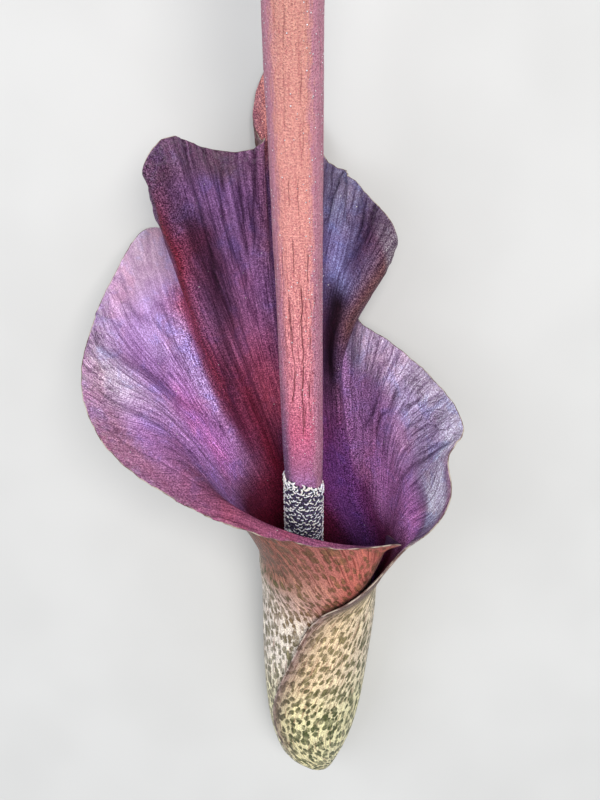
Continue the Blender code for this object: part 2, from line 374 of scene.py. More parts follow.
# Name, angle at the throat, a point at mid height, and a point on the margin.
LIMB_RIBS = (
    ("free_edge", 78, (48.5, -31, 24), (54, -21.5, 28)),
    ("right_foot", 84, (58, -19, 23), (60, -9, 36)),
    ("right_low", 92, (56, -12, 14), (69, 17, 42)),
    ("right_notch", 101, (52, -3, 8), (62, 28, 26)),
    ("right_side", 110, (49, 7, 2), (73, 40, 32)),
    ("right_mid", 120, (46, 14, -8), (70, 44, 8)),
    ("right_high", 130, (41, 21, -18), (58, 49, -16)),
    ("right_top", 140, (34, 26, -28), (41, 56, -36)),
    ("right_turn", 148, (27, 26, -37), (28, 52, -59)),
    ("right_valley", 153, (22, 28, -43), (30, 58, -83.6)),
    ("right_fold", 157, (18, 33, -44), (22, 73, -95)),
    ("right_wing_edge", 160, (16, 41, -40), (46, 80, -56)),
    ("right_wing", 166, (14, 52, -38), (48, 111, -34)),
    ("right_wing_top", 172, (11, 56, -42), (32, 120, -54)),
    ("right_crest", 177, (8, 57, -50), (20, 134, -58)),
    ("back_right", 181, (4, 57, -54), (12, 126, -84)),
    ("tip_right", 185, (0, 58, -58), (8, 152, -103.5)),
    ("apex", 188, (-4, 58, -60), (-9, 188, -112.5)),
    ("tip_left", 191, (-8, 58, -59), (-27, 151.5, -102.5)),
    ("pleat_back", 194, (-12, 58, -59), (-22, 134, -92)),
    ("pleat_crest", 197, (-15, 58, -54), (-12, 147, -71)),
    ("back_left", 201, (-19, 58, -54), (-28, 132, -79)),
    ("left_wing_top", 208, (-27, 57, -54), (-46, 141, -66)),
    ("left_wing", 216, (-36, 62, -44), (-60, 154, -42)),
    ("left_wing_out", 223, (-44, 63, -32), (-72, 140, -30)),
    ("left_wing_edge", 230, (-49, 55, -32), (-69, 112, -48)),
    ("left_valley", 237, (-55, 42, -46.3), (-62, 84, -102.6)),
    ("left_turn", 243, (-60, 40, -46), (-80, 102, -84)),
    ("left_top", 250, (-64, 39, -36), (-92, 82, -46)),
    ("left_high", 258, (-66, 37, -22), (-100, 64, -14)),
    ("left_side", 268, (-64, 33, -8), (-100, 50, 8)),
    ("left_low", 280, (-59, 29, 8), (-89, 34, 28)),
    ("left_foot", 294, (-50, 22, 22), (-64, 20, 42)),
    ("lip_left", 310, (-37, 13, 32), (-39, 9, 48)),
    ("lip_front_left", 328, (-20, 1, 36), (-17, -5, 44)),
    ("lip_front", 350, (0, -9, 37), (6, -13, 41)),
    ("lip_front_right", 376, (23, -19, 33), (28, -20, 36)),
    ("lip_corner", 391, (37, -27, 26.5), (46, -20.5, 29)),
    ("tucked_turn", 406, (42.5, -33.5, 18.5), (50.5, -29.5, 22)),
    ("tucked_edge", 440, (43, -36.5, 6), (44, -34.5, 6.5)),
)
# The level between mid limb and margin lies this share of the way out.
MARGIN_BLEND = 0.58
RIB_PLACE = {rib[0]: place for place, rib in enumerate(LIMB_RIBS)}
LEVELS = len(TUBE_LEVELS) + 3
THROAT, MID_LIMB, MARGIN = LEVELS - 4, LEVELS - 3, LEVELS - 1
print("net of the spathe:", LEVELS, "levels by", len(LIMB_RIBS), "ribs")


# %% From the net to a sheet
def spline_weights(controls, place):
    """How much each control point counts at each place of a uniform cubic B-spline.

    A phantom point past each end, opposite the last but one, makes the curve reach its ends.
    """
    span = np.minimum(place.astype(int), controls - 2)
    t = place - span
    basis = ((1 - t) ** 3, 3 * t**3 - 6 * t**2 + 4, -3 * t**3 + 3 * t**2 + 3 * t + 1, t**3)
    weights = np.zeros((len(place), controls + 2))
    for offset, share in enumerate(basis):
        weights[np.arange(len(place)), span + offset] += share / 6
    weights[:, 1] += 2 * weights[:, 0]
    weights[:, 2] -= weights[:, 0]
    weights[:, -2] += 2 * weights[:, -1]
    weights[:, -3] -= weights[:, -1]
    return weights[:, 1:-1]


def tube_level(height, radius, outer_angle, inner_angle, flare, share):
    """One level of the rolled tube: a spiral whose radius shrinks by ROLL_PITCH each turn.

    The outer edge flares, less and less up to FLARE_REACH degrees in, and the tucked part, a
    full turn further in, lies against it.
    """
    turn = share * (inner_angle - outer_angle)
    angle = np.radians(outer_angle + turn)
    outer_flare = np.clip(1 - turn / FLARE_REACH, 0, 1)
    rise = (turn - TUCKED_START) / (360 - TUCKED_START)
    tucked_flare = TUCKED_FLARE * np.clip(np.minimum(rise, 1 - (turn - 360) / FLARE_REACH), 0, 1)
    reach = radius + ROLL_PITCH * (0.5 - turn / 360) + flare * (outer_flare + tucked_flare)
    middle = np.interp(height, *zip(*TUBE_LEAN))
    level = np.full_like(angle, height)
    return np.stack([middle + reach * np.sin(angle), level, reach * np.cos(angle)], -1)


def spathe_net():
    """The control points: the tube's levels, then mid limb, a blend, and the margin."""
    throat = np.array([rib[1] for rib in LIMB_RIBS], float)
    share = (throat - throat[0]) / (throat[-1] - throat[0])
    net = [tube_level(*level, share) for level in TUBE_LEVELS]
    middle = np.array([rib[2] for rib in LIMB_RIBS], float)
    margin = np.array([rib[3] for rib in LIMB_RIBS], float)
    net += [middle, middle * (1 - MARGIN_BLEND) + margin * MARGIN_BLEND, margin]
    return np.array(net)


def sheet_at(up, across):
    """Points of the sheet at those levels and ribs, as a grid."""
    up_weights = spline_weights(LEVELS, up)
    across_weights = spline_weights(len(LIMB_RIBS), across)
    return np.einsum("ri,cj,ijk->rck", up_weights, across_weights, spathe_net())


def normals_of(sheet):
    """The unit normal at each point: the way along the columns times the way up the rows."""
    return unit(np.cross(np.gradient(sheet, axis=1), np.gradient(sheet, axis=0)))


# %% [markdown]
# ## Where the points go
#
# Evenly spaced points waste detail on the plain tube. The rows come closer together towards the
# margin, where the sheet is thin and wrinkled, and the columns stand closer where the limb is
# long from one rib to the next.

# %% Rows and columns of the spathe
SPATHE_ROWS = 104
SPATHE_COLUMNS = 458
# Pairs of a row and the level that it lies on. The rows between are spaced evenly.
ROW_PLAN = ((0, 0), (27, THROAT), (80, 13.35), (SPATHE_ROWS - 1, MARGIN))
# The levels at which the limb is measured for its columns, how finely, and how much of the
# average step is added to each, so that narrow ribs get columns too.
COLUMN_LEVELS = np.array([MID_LIMB, 13.3, MARGIN])
FINE_STEPS = 4000
EVEN_SHARE = 0.5


def lengths(points, axis):
    """The distance from each point to the next along an axis."""
    return np.linalg.norm(np.diff(points, axis=axis), axis=-1)


def running(steps):
    """Steps added up from 0, along the first axis."""
    return np.concatenate([np.zeros((1, *steps.shape[1:])), np.cumsum(steps, axis=0)])


up = np.interp(np.arange(SPATHE_ROWS), *zip(*ROW_PLAN))
fine_across = np.linspace(0, len(LIMB_RIBS) - 1, FINE_STEPS)
steps = lengths(sheet_at(COLUMN_LEVELS, fine_across), 1).mean(0)
run = running(steps + EVEN_SHARE * steps.mean())
across = np.interp(np.linspace(0, run[-1], SPATHE_COLUMNS), run, fine_across)

plain_sheet = sheet_at(up, across)
sheet_normal = normals_of(plain_sheet)
level, rib = np.meshgrid(up, across, indexing="ij")

# How far each point is round the limb and up its rib, in millimetres: lines of equal flow fan
# out along the ribs, as the veins do.
mid_line = sheet_at(np.array([float(MID_LIMB)]), across)[0]
flow = np.broadcast_to(running(lengths(mid_line, 0)), level.shape)
climb = running(lengths(plain_sheet, 0))
margin_run = running(lengths(plain_sheet[-1], 0))
print("margin of the spathe:", round(margin_run[-1]), "mm, tallest rib:", round(climb[-1].max()), "mm")

# %% [markdown]
# ## Furrows, wrinkles and the crumpled margin
#
# A konjac spathe is never smooth. Long furrows follow its ribs, finer wrinkles lie between them
# on the outer limb, and the thin margin crumples as it dries. Each is a set of random hills,
# stretched along the ribs and pushed along the normal, and the few creases that show best follow
# routes of their own. They are real relief in the mesh, because bump alone leaves the outline
# straight.

# %% Creases
# Each crease: half width and depth in millimetres, how much painted shade darkens it, then its
# ribs and levels from the throat outwards. A depth below zero is a ridge.
CREASES = (
    (1.5, 1.3, 0.75, ((23.0, 12.3), (22.6, 13.1), (22.5, 14.1))),
    (3.0, 0.9, 0.45, ((23.3, 12.6), (23.2, 13.0), (23.4, 13.8))),
    (2.2, -1.2, 0.00, ((22.9, 13.0), (23.0, 13.9))),
    (1.0, 0.9, 0.95, ((21.3, 12.7), (21.2, 13.6))),
    (1.3, 1.2, 0.80, ((22.0, 12.6), (21.9, 13.1), (21.6, 13.7))),
    (3.0, -1.3, 0.00, ((21.6, 12.9), (21.5, 13.6))),
    (1.4, 1.8, 0.90, ((20.9, 12.8), (20.8, 13.3), (20.6, 14.1))),
    (1.8, 3.0, 0.90, ((14.5, 13.2), (14.3, 13.7), (14.1, 14.1))),
    (2.2, -3.2, 0.00, ((13.4, 13.4), (13.7, 14.1))),
    (2.0, 1.8, 0.75, ((12.9, 13.0), (12.8, 13.7), (12.8, 14.1))),
    (2.2, 1.2, 0.55, ((13.3, 12.8), (13.0, 13.7))),
    (4.0, 1.3, 0.40, ((27.4, 11.5), (28.7, 12.0), (29.0, 12.8), (28.9, 13.9))),
    (1.8, 0.8, 0.40, ((27.1, 12.1), (28.0, 13.0), (28.2, 14.1))),
    (1.4, 0.6, 0.35, ((25.4, 12.1), (26.9, 12.4), (27.5, 13.0))),
    (2.0, 1.0, 0.40, ((30.7, 11.8), (30.4, 12.6), (29.9, 13.6))),
    (1.6, 0.7, 0.35, ((32.9, 12.4), (31.7, 12.9), (30.8, 13.6))),
    (3.5, -1.1, 0.00, ((30.3, 11.7), (30.1, 12.4), (29.4, 13.8))),
    (1.2, 1.0, 0.95, ((7.2, 13.5), (7.3, 13.9))),
    (1.4, 1.1, 0.75, ((6.7, 11.8), (6.1, 12.3), (6.2, 12.9))),
    (1.3, 1.1, 0.75, ((7.7, 11.7), (6.9, 12.0), (6.6, 12.5))),
    (2.2, 0.7, 0.35, ((4.7, 12.2), (4.7, 12.9), (5.1, 13.9))),
    (1.7, 1.1, 0.60, ((4.2, 11.7), (3.7, 12.5), (3.9, 13.7))),
    (1.0, 0.6, 0.45, ((6.2, 12.2), (6.0, 13.1), (5.95, 14.1))),
    (0.9, 0.8, 0.80, ((6.9, 12.6), (6.8, 13.3))),
    (0.9, 0.8, 0.80, ((5.6, 12.5), (5.5, 13.2))),
    (0.9, 0.7, 0.70, ((5.1, 12.3), (5.0, 13.0))),
    (0.8, 0.6, 0.55, ((28.4, 13.2), (28.6, 14.1))),
    (0.7, 0.6, 0.50, ((28.9, 13.4), (29.1, 14.1))),
    (0.8, 0.6, 0.60, ((29.3, 13.1), (29.6, 13.9))),
    (0.7, 0.5, 0.50, ((27.9, 13.4), (28.0, 14.1))),
)
CREASE_WANDER = 0.8


def near_rib(place, half_width):
    """1 on a rib, falling off on both sides as a bell.

    The rib is a name, a number, or a route of ribs and levels that the bell follows.
    """
    middle_rib = RIB_PLACE[place] if isinstance(place, str) else place
    if isinstance(place, tuple):
        ribs, levels = zip(*place)
        middle_rib = np.interp(level, levels, ribs)
    return bell(rib - middle_rib, half_width)


def between(low, high, soft):
    """1 between two levels, with soft ends."""
    above_low = ramp(level, low - soft / 2, low + soft / 2)
    return above_low * (1 - ramp(level, high - soft / 2, high + soft / 2))


def crease_masks():
    """How deep the creases are, and how much painted shade darkens them: a bell across each route, faded
    at its ends.

    The distance to a route is counted in ribs and turned into millimetres by the local width of
    a rib, and a slow random wander keeps the route from looking ruled.
    """
    rib_width = np.linalg.norm(np.gradient(plain_sheet, axis=1), axis=-1) / np.gradient(rib, axis=1)
    sunk, dark = np.zeros_like(rib), np.zeros_like(rib)
    for number, (half_width, depth, shade_share, route) in enumerate(CREASES):
        ribs, levels = zip(*route)
        wander = CREASE_WANDER * hills(climb / 8, climb * 0 + 5.3 * number, seed=17)
        distance = (rib - np.interp(level, levels, ribs)) * rib_width + wander
        mask = between(levels[0], levels[-1], 0.25) * bell(distance, half_width)
        sunk += depth * mask
        # The crease's painted shade.
        dark = np.maximum(dark, shade_share * mask)
    return sunk, dark


crease_depth, crease_shade = crease_masks()
print("creases:", len(CREASES), "deepest:", round(crease_depth.max(), 1), "mm")

# %% Furrows
# The veins run straight from the margin to the throat on the two side lobes, and along the rim
# on the lip, so the flow is moved there: by millimetres on the lobes, by a slope on the lip.
# Furrows also sway a little from side to side, by this many millimetres.
RIGHT_FAN, LEFT_FAN, LIP_SLOPE = 11.0, -15.0, 2.0
FURROW_SWAY = 1.6
FURROW_WIDTH, FURROW_LENGTH = 5.2, 80.0

halfway = np.sin(math.pi * np.clip((level - THROAT) / (MARGIN - THROAT), 0, 1))
above_throat = climb - climb[ROW_PLAN[1][0]]
fan = flow + halfway * (RIGHT_FAN * near_rib("right_low", 2.0) + LEFT_FAN * near_rib("left_low", 2.4))
fan = fan + LIP_SLOPE * above_throat * near_rib("lip_front_left", 2.4) * ramp(level, THROAT + 0.2, 12.3)

bent = fan + FURROW_SWAY * hills(flow / 14, climb / 34, seed=11)
furrow = rough_hills(bent / FURROW_WIDTH, climb / FURROW_LENGTH, seed=21, layers=2)
whole_across = rib / (len(LIMB_RIBS) - 1)
calm_ends = np.sin(math.pi * whole_across) ** 2
limb = ramp(level, THROAT - 0.3, 12.4) * ramp(calm_ends, 0.0, 0.12)
# Painted shade at the bottoms of the furrows, darkened as their shadow would be.
furrow_shade = limb * (1 - ramp(np.abs(furrow), 0.0, 0.16))
print("share of the limb in a furrow:", round((furrow_shade > 0.5).sum() / (limb > 0.5).sum(), 2))

# %% Relief of the sheet
# The margin is ruffled in RUFFLE_COUNT waves, from this share of the way up.
RUFFLE_COUNT, RUFFLE_START = 18, 0.8
# Heights of the relief, and the wall, in millimetres.
WALL = 1.4
RUFFLE_HEIGHT = 1.0
FURROW_DEPTH = 0.80
WRINKLE_DEPTH = 0.50
CRUMPLE_DEPTH = 1.4
TUBE_RELIEF = 0.12
WING_HOLLOW, WING_BULGE = 3.2, 1.28
RAGGED_EDGE = 1.5
# The share of the wall that is gone at the margin and at the two rolled edges.
THINNING = 0.58


def spathe_relief():
    """Millimetres to push each point out along its normal, so away from who looks in."""
    ruffle = np.clip((level / MARGIN - RUFFLE_START) / (1 - RUFFLE_START), 0, 1) ** 2 * calm_ends
    relief = RUFFLE_HEIGHT * ruffle * np.sin(2 * math.pi * RUFFLE_COUNT * whole_across)
    deeper = 0.6 + 0.8 * near_rib("left_wing_top", 4)
    relief += limb * FURROW_DEPTH * (1 - 2.2 * np.abs(furrow)) * deeper
    wrinkle = rough_hills(bent / 3.0, climb / 22, seed=31, layers=2)
    relief += limb * ramp(level, 12.0, 13.6) * WRINKLE_DEPTH * wrinkle
    crumple = rough_hills(flow / 5.5, climb / 7.0, seed=41)
    smoother = 0.7 * near_rib("right_mid", 3.5) + 0.6 * near_rib(28.8, 1.6)
    relief += limb * ramp(level, 13.1, 14.0) * (CRUMPLE_DEPTH - smoother) * crumple
    relief += limb * crease_depth
    relief += WING_HOLLOW * near_rib(12.9, 0.8) * between(12.3, 13.6, 0.7)
    relief -= WING_BULGE * near_rib(11.3, 0.5) * between(12.2, 13.8, 0.6)
    tube = 1 - ramp(level, THROAT - 1, THROAT + 0.5)
    relief += tube * TUBE_RELIEF * rough_hills(flow / 2.2, climb / 60, seed=51, layers=2)
    return relief


def ragged(sheet):
    """Draw the margin in, unevenly, by up to RAGGED_EDGE along the sheet."""
    bite = RAGGED_EDGE * (0.5 - 0.5 * rough_hills(margin_run / 6.5, margin_run * 0, seed=47))[None, :]
    along = unit(np.gradient(sheet, axis=0))
    return sheet - along * (bite * calm_ends * ramp(level, 13.1, MARGIN) ** 2)[..., None]


def wall_half():
    """Half the wall: full in the tube, thin at the margin and at the two rolled edges."""
    thin = ramp(level, 12.6, 14.0)
    ends = np.minimum(rib, len(LIMB_RIBS) - 1 - rib)
    edge = 1 - ramp(ends, 0.0, 0.5)
    return WALL / 2 * (1 - THINNING * np.maximum(thin, edge))


middle = ragged(plain_sheet + sheet_normal * spathe_relief()[..., None])
half = wall_half()
print("wall:", round(2 * half.max(), 2), "mm in the tube,", round(2 * half.min(), 2), "mm at the margin")

# %% [markdown]
# ## Two skins and a rim
#
# A real bract has an inside and an outside of different colours, so the sheet gets a real wall:
# a skin on each side of the middle sheet, and a rounded rim that closes the edge between them.
# What would sink below the surface is pressed flat on it.

# %% The two skins and the rim
def skins(middle, half):
    """The outer and inner skin on both sides of the middle sheet, pressed flat on the surface."""
    laid = lay_down(middle)
    laid[..., 2] = np.maximum(laid[..., 2], half * MILLIMETRE)
    normal = normals_of(laid)
    shift = normal * (half * MILLIMETRE)[..., None]
    outer, inner = laid + shift, laid - shift
    for skin in (outer, inner):
        skin[..., 2] = np.maximum(skin[..., 2], 0)
    return laid, outer, inner


def rim_path(rows, columns):
    """Point numbers round the edge of the grid: foot, right side, margin, left side."""
    numbers = np.arange(rows * columns).reshape(rows, columns)
    return np.concatenate([numbers[0, :-1], numbers[:-1, -1], numbers[-1, :0:-1], numbers[:0:-1, 0]])


def rim_faces(first, second):
    """Faces between two loops of point numbers."""
    return np.stack([np.roll(first, -1), first, second, np.roll(second, -1)], -1)


# How far the rim's middle stands in from the edge, in half walls.
RIM_INSET = 0.8
laid, outer_skin, inner_skin = skins(middle, half)
edge_path = rim_path(SPATHE_ROWS, SPATHE_COLUMNS)
inset = np.zeros_like(laid)
inset[0], inset[-1] = laid[1] - laid[0], laid[-2] - laid[-1]
inset[:, 0] += laid[:, 1] - laid[:, 0]
inset[:, -1] += laid[:, -2] - laid[:, -1]
inset /= np.maximum(np.linalg.norm(inset, axis=-1, keepdims=True), 1e-9)
rounded = laid - inset * (half * RIM_INSET * MILLIMETRE)[..., None]
rim_points = rounded.reshape(-1, 3)[edge_path]
rim_points[:, 2] = np.maximum(rim_points[:, 2], 0)
print("points on the rim:", len(rim_points))

# %% [markdown]
# ## Painting the spathe
#
# The colour changes slowly over the sheet: a maroon throat, lilac lobes, a dusky back and pale
# dry margins. It is painted as a water-colourist would, with soft washes laid one over the other.
# A wash has a rib where it is strongest, a half width in ribs, the levels that it covers, a
# colour and a strength. The material later adds veins, grain and spots inside those colours.

# %% Pigments of the inside
DUSK = (0.150, 0.062, 0.150)
MAROON = (0.130, 0.006, 0.020)
ROSE = (0.470, 0.080, 0.145)
CRIMSON_ROSE = (0.150, 0.008, 0.028)
THROAT_VIOLET = (0.150, 0.043, 0.205)
VIOLET_MAUVE = (0.470, 0.175, 0.450)
LILAC = (0.560, 0.320, 0.660)
PALE_LILAC = (0.640, 0.450, 0.580)
CREAM_LILAC = (0.660, 0.540, 0.690)
MAGENTA = (0.660, 0.240, 0.670)
BLUE_VIOLET = (0.600, 0.410, 0.800)
DARK_VIOLET = (0.310, 0.125, 0.370)
GREY_MAUVE = (0.480, 0.220, 0.560)
PINK_MAUVE = (0.400, 0.180, 0.265)
ROSE_MAUVE = (0.255, 0.062, 0.118)
DRY_MAUVE = (0.230, 0.130, 0.210)
CRIMSON = (0.150, 0.014, 0.030)
ROSY_VELVET = (0.225, 0.030, 0.058)
PURPLE = (0.360, 0.120, 0.270)
DUSK_BLUE = (0.235, 0.108, 0.275)
NIGHT = (0.032, 0.008, 0.028)
KNOB_LILAC = (0.170, 0.085, 0.145)
DUST_BROWN = (0.105, 0.048, 0.060)
STRIP_RED = (0.250, 0.078, 0.135)
WING_BLUE = (0.200, 0.190, 0.410)
WING_GREY = (0.100, 0.078, 0.135)
WING_STEEL = (0.195, 0.175, 0.290)
WING_PURPLE_SHADE = (0.085, 0.040, 0.100)
FOLD_BROWN = (0.140, 0.052, 0.056)
FOLD_SHADOW = (0.010, 0.001, 0.007)
ASH = (0.220, 0.170, 0.225)
SILVER_LILAC = (0.440, 0.330, 0.530)
LOBE_PINK = (0.700, 0.500, 0.720)
ICE = (0.760, 0.700, 0.860)
LOBE_GREY = (0.400, 0.310, 0.400)
CRIMSON_MAUVE = (0.400, 0.162, 0.410)
STREAK_VIOLET = (0.200, 0.090, 0.240)
DEEP_MAUVE = (0.055, 0.027, 0.065)
TIP_RED = (0.600, 0.205, 0.165)
KNOB_SHADOW = (0.075, 0.022, 0.050)
LAP_SHADOW = (0.060, 0.006, 0.016)
PALE_EDGE = (0.600, 0.500, 0.460)

# %% Washes of the inside
# These bands cross the ribs, so each is a route of ribs and levels.
ROSY_ROUTE = ((25.9, 11.7), (25.5, 12.2), (24.9, 12.6), (24.2, 12.9), (24.4, 13.5))
PALE_ROUTE = ((30.3, 11.7), (30.2, 12.4), (29.4, 13.7))
STREAK_ROUTE = ((25.1, 11.6), (24.1, 11.85), (23.6, 12.1), (23.2, 12.4), (23.0, 12.7))
# Half the width of a wash that covers all the ribs, in ribs.
ALL_ROUND = 60.0

# Rib, half width in ribs, lowest and highest level, softness of those two, colour, strength. The
# levels run from 0 at the foot to 14 at the margin, so -1 and 15 lie past them.
INSIDE_WASHES = (
    ("apex", ALL_ROUND, 0.0, 11.5, 1.0, MAROON, 1.0),
    ("right_wing_top", 6.5, 0.0, 11.4, 0.8, THROAT_VIOLET, 0.95),
    ("left_high", 3.6, 11.3, 15.0, 0.8, LILAC, 1.0),
    ("left_wing_top", 1.5, 11.4, 12.2, 0.5, ROSE, 0.85),
    ("left_wing_edge", 1.1, 11.3, 12.1, 0.4, CRIMSON_ROSE, 0.85),
    (23.6, 0.9, 11.0, 11.9, 0.3, MAROON, 0.8),
    ("left_turn", 1.3, 13.0, 15.0, 0.7, PALE_LILAC, 0.90),
    ("left_top", 1.2, 11.4, 12.3, 0.6, MAGENTA, 0.55),
    ("left_top", 0.8, 12.2, 13.2, 0.5, BLUE_VIOLET, 0.7),
    ("left_high", 0.70, 12.0, 13.3, 0.5, DARK_VIOLET, 0.85),
    ("left_high", 1.3, 11.3, 12.0, 0.4, MAGENTA, 0.85),
    ("left_side", 0.9, 11.9, 13.4, 0.6, LILAC, 0.7),
    ("left_high", 0.8, 13.6, 15.0, 0.3, DRY_MAUVE, 0.35),
    (PALE_ROUTE, 0.75, 12.4, 13.9, 1.0, CREAM_LILAC, 0.95),
    ("left_low", 1.0, 11.2, 13.0, 0.6, GREY_MAUVE, 0.8),
    ("left_low", 1.0, 13.1, 15.0, 0.5, PINK_MAUVE, 0.8),
    ("lip_front_left", 2.7, 11.9, 15.0, 0.7, ROSE_MAUVE, 0.95),
    ("back_left", 3.2, 12.0, 15.0, 0.8, DUSK_BLUE, 0.9),
    ("left_wing_top", 1.2, 12.0, 12.6, 0.4, PURPLE, 0.6),
    ("left_wing", 0.8, 12.0, 13.1, 0.5, NIGHT, 0.80),
    ("left_wing", 1.2, 13.5, 15.0, 0.3, KNOB_LILAC, 0.6),
    ("left_wing_out", 1.0, 13.0, 15.0, 0.4, KNOB_SHADOW, 0.7),
    (ROSY_ROUTE, 1.30, 11.6, 12.95, 0.4, ROSY_VELVET, 0.97),
    (ROSY_ROUTE, 0.45, 12.5, 13.55, 0.3, CRIMSON, 0.95),
    (26.1, 0.8, 12.2, 12.9, 0.4, ROSE, 0.75),
    # Painted sheen: a bluish-violet glow where the left lobe catches the light.
    (27.0, 0.8, 11.7, 12.5, 0.4, BLUE_VIOLET, 0.85),
    (STREAK_ROUTE, 0.50, 11.4, 13.0, 0.5, NIGHT, 0.55),
    (21.6, 0.8, 13.6, 15.0, 0.3, DUST_BROWN, 0.75),
    ("pleat_crest", 0.8, 12.5, 15.0, 0.6, STRIP_RED, 0.75),
    ("apex", 1.4, 13.3, 15.0, 0.4, TIP_RED, 0.95),
    ("right_wing_top", 1.6, 12.4, 13.5, 0.5, WING_BLUE, 0.9),
    ("right_wing_top", 1.8, 13.6, 15.0, 0.3, WING_GREY, 0.85),
    ("right_crest", 1.2, 13.2, 15.0, 0.5, WING_STEEL, 0.8),
    ("right_high", 3.9, 11.9, 15.0, 0.7, SILVER_LILAC, 1.0),
    (8.0, 1.3, 13.1, 15.0, 0.5, LOBE_PINK, 0.9),
    (5.7, 0.7, 13.2, 15.0, 0.4, LOBE_GREY, 0.7),
    (6.6, 0.9, 11.3, 12.2, 0.5, DEEP_MAUVE, 0.7),
    ("right_turn", 3.4, 11.2, 12.5, 0.5, CRIMSON_MAUVE, 0.80),
    (11.3, 1.2, 11.0, 11.5, 0.4, THROAT_VIOLET, 0.6),
    (6.9, 1.1, 11.8, 12.7, 0.5, STREAK_VIOLET, 0.65),
    ("right_low", 2.6, 10.8, 12.3, 0.7, VIOLET_MAUVE, 0.9),
    (5.8, 1.3, 10.7, 11.6, 0.5, VIOLET_MAUVE, 0.9),
    ("right_side", 1.0, 13.3, 15.0, 0.4, ICE, 0.7),
    ("right_low", 0.8, 12.7, 13.7, 0.4, ICE, 0.85),
    ("right_low", 1.5, 13.8, 15.0, 0.3, PINK_MAUVE, 0.55),
    # Partly the wing's own dark purple, partly painted shade in the hollow beside the fold.
    (12.7, 0.6, 12.8, 14.0, 0.5, WING_PURPLE_SHADE, 0.95),
    (12.9, 1.3, 11.7, 12.6, 0.4, FOLD_SHADOW, 1.0),
    (11.6, 0.7, 12.2, 15.0, 0.5, FOLD_BROWN, 0.95),
    (11.8, 0.6, 13.6, 15.0, 0.2, ASH, 0.8),
    ("free_edge", 2.6, -1.0, 11.6, 0.6, LAP_SHADOW, 1.0),
    ("free_edge", 0.30, 9.0, 15.0, 0.6, PALE_EDGE, 0.9),
    # Painted shadow: the tucked part's inside under the outer flap's edge, darkened as the seam's shadow.
    ("tucked_turn", 1.4, 11.0, 15.0, 0.6, DEEP_MAUVE, 0.9),
)

# %% Washes of the outside and of its spots
CREAM = (0.640, 0.560, 0.440)
LIME_CREAM = (0.740, 0.710, 0.400)
PINK_CREAM = (0.800, 0.720, 0.660)
BRICK_GLOW = (0.400, 0.110, 0.088)
RUST = (0.230, 0.075, 0.048)
FLAP_BROWN = (0.080, 0.038, 0.020)
MAUVE_BROWN = (0.215, 0.130, 0.125)
OCHRE_CREAM = (0.760, 0.570, 0.350)
OUTER_MAUVE = (0.220, 0.110, 0.145)
LIP_LILAC = (0.400, 0.200, 0.260)

OUTSIDE_WASHES = (
    ("apex", ALL_ROUND, 10.6, 15.0, 2.0, OUTER_MAUVE, 1.0),
    ("lip_left", 3.0, -1.0, 9.0, 3.0, PINK_CREAM, 0.9),
    ("right_low", 4.0, -1.0, 9.5, 2.0, OCHRE_CREAM, 0.9),
    ("apex", ALL_ROUND, -1.0, 4.0, 1.5, LIME_CREAM, 0.8),
    # Painted light: the upper tube glows red where light shines through its thin wall.
    ("lip_corner", 2.4, 6.5, 15.0, 1.6, BRICK_GLOW, 1.0),
    ("lip_front_left", 1.6, 8.5, 15.0, 3.5, RUST, 0.9),
    ("lip_front", 2.2, 13.6, 15.0, 0.3, LIP_LILAC, 0.9),
    ("right_foot", 4.4, 7.4, 15.0, 2.5, FLAP_BROWN, 0.97),
    ("free_edge", 1.70, 2.0, 15.0, 1.0, MAUVE_BROWN, 0.92),
    ("free_edge", 0.10, -1.0, 12.0, 1.0, PALE_EDGE, 0.9),
)

SPOT_GREEN = (0.046, 0.056, 0.014)
SPOT_GREY = (0.165, 0.145, 0.100)
SPOT_OLIVE = (0.215, 0.165, 0.085)
SPOT_RUST = (0.150, 0.062, 0.032)
SPOT_UMBER = (0.085, 0.048, 0.040)
SPOT_WASHES = (
    ("apex", ALL_ROUND, 10.0, 15.0, 1.5, SPOT_UMBER, 1.0),
    ("lip_left", 3.5, -1.0, 8.0, 2.0, SPOT_GREY, 0.9),
    ("right_low", 4.0, 4.3, 10.0, 2.0, SPOT_OLIVE, 0.9),
    ("lip_corner", 2.5, 5.5, 15.0, 1.5, SPOT_RUST, 0.9),
    ("right_foot", 3.0, 8.0, 15.0, 2.0, SPOT_UMBER, 0.8),
    ("free_edge", 1.8, 2.0, 15.0, 1.0, SPOT_UMBER, 0.9),
)


# %% Laying the washes
def washed(base, washes):
    """Lay soft washes over a base colour: new = old x (1 - mask) + colour x mask."""
    colour = np.broadcast_to(np.array(base), (*level.shape, 3)).copy()
    for place, half_width, low, high, soft, pigment, strength in washes:
        mask = strength * between(low, high, soft) * near_rib(place, half_width)
        colour += mask[..., None] * (np.array(pigment) - colour)
    return colour


inside_colour = washed(DUSK, INSIDE_WASHES)
outside_colour = washed(CREAM, OUTSIDE_WASHES)
spot_colour = washed(SPOT_GREEN, SPOT_WASHES)
print("inside colours from", inside_colour.min().round(3), "to", inside_colour.max().round(3))

# %% What else is painted
# So wide that the bell is 1 on every rib.
EVERYWHERE = 1e6


def summed(start, lowest, highest, *rows):
    """A number on each point: a start plus soft patches, kept between lowest and highest.

    A patch is a rib, a half width in ribs, two levels, their softness, and what it adds.
    """
    total = np.full(level.shape, start)
    for place, half_width, low, high, soft, amount in rows:
        total += amount * between(low, high, soft) * near_rib(place, half_width)
    return np.clip(total, lowest, highest)


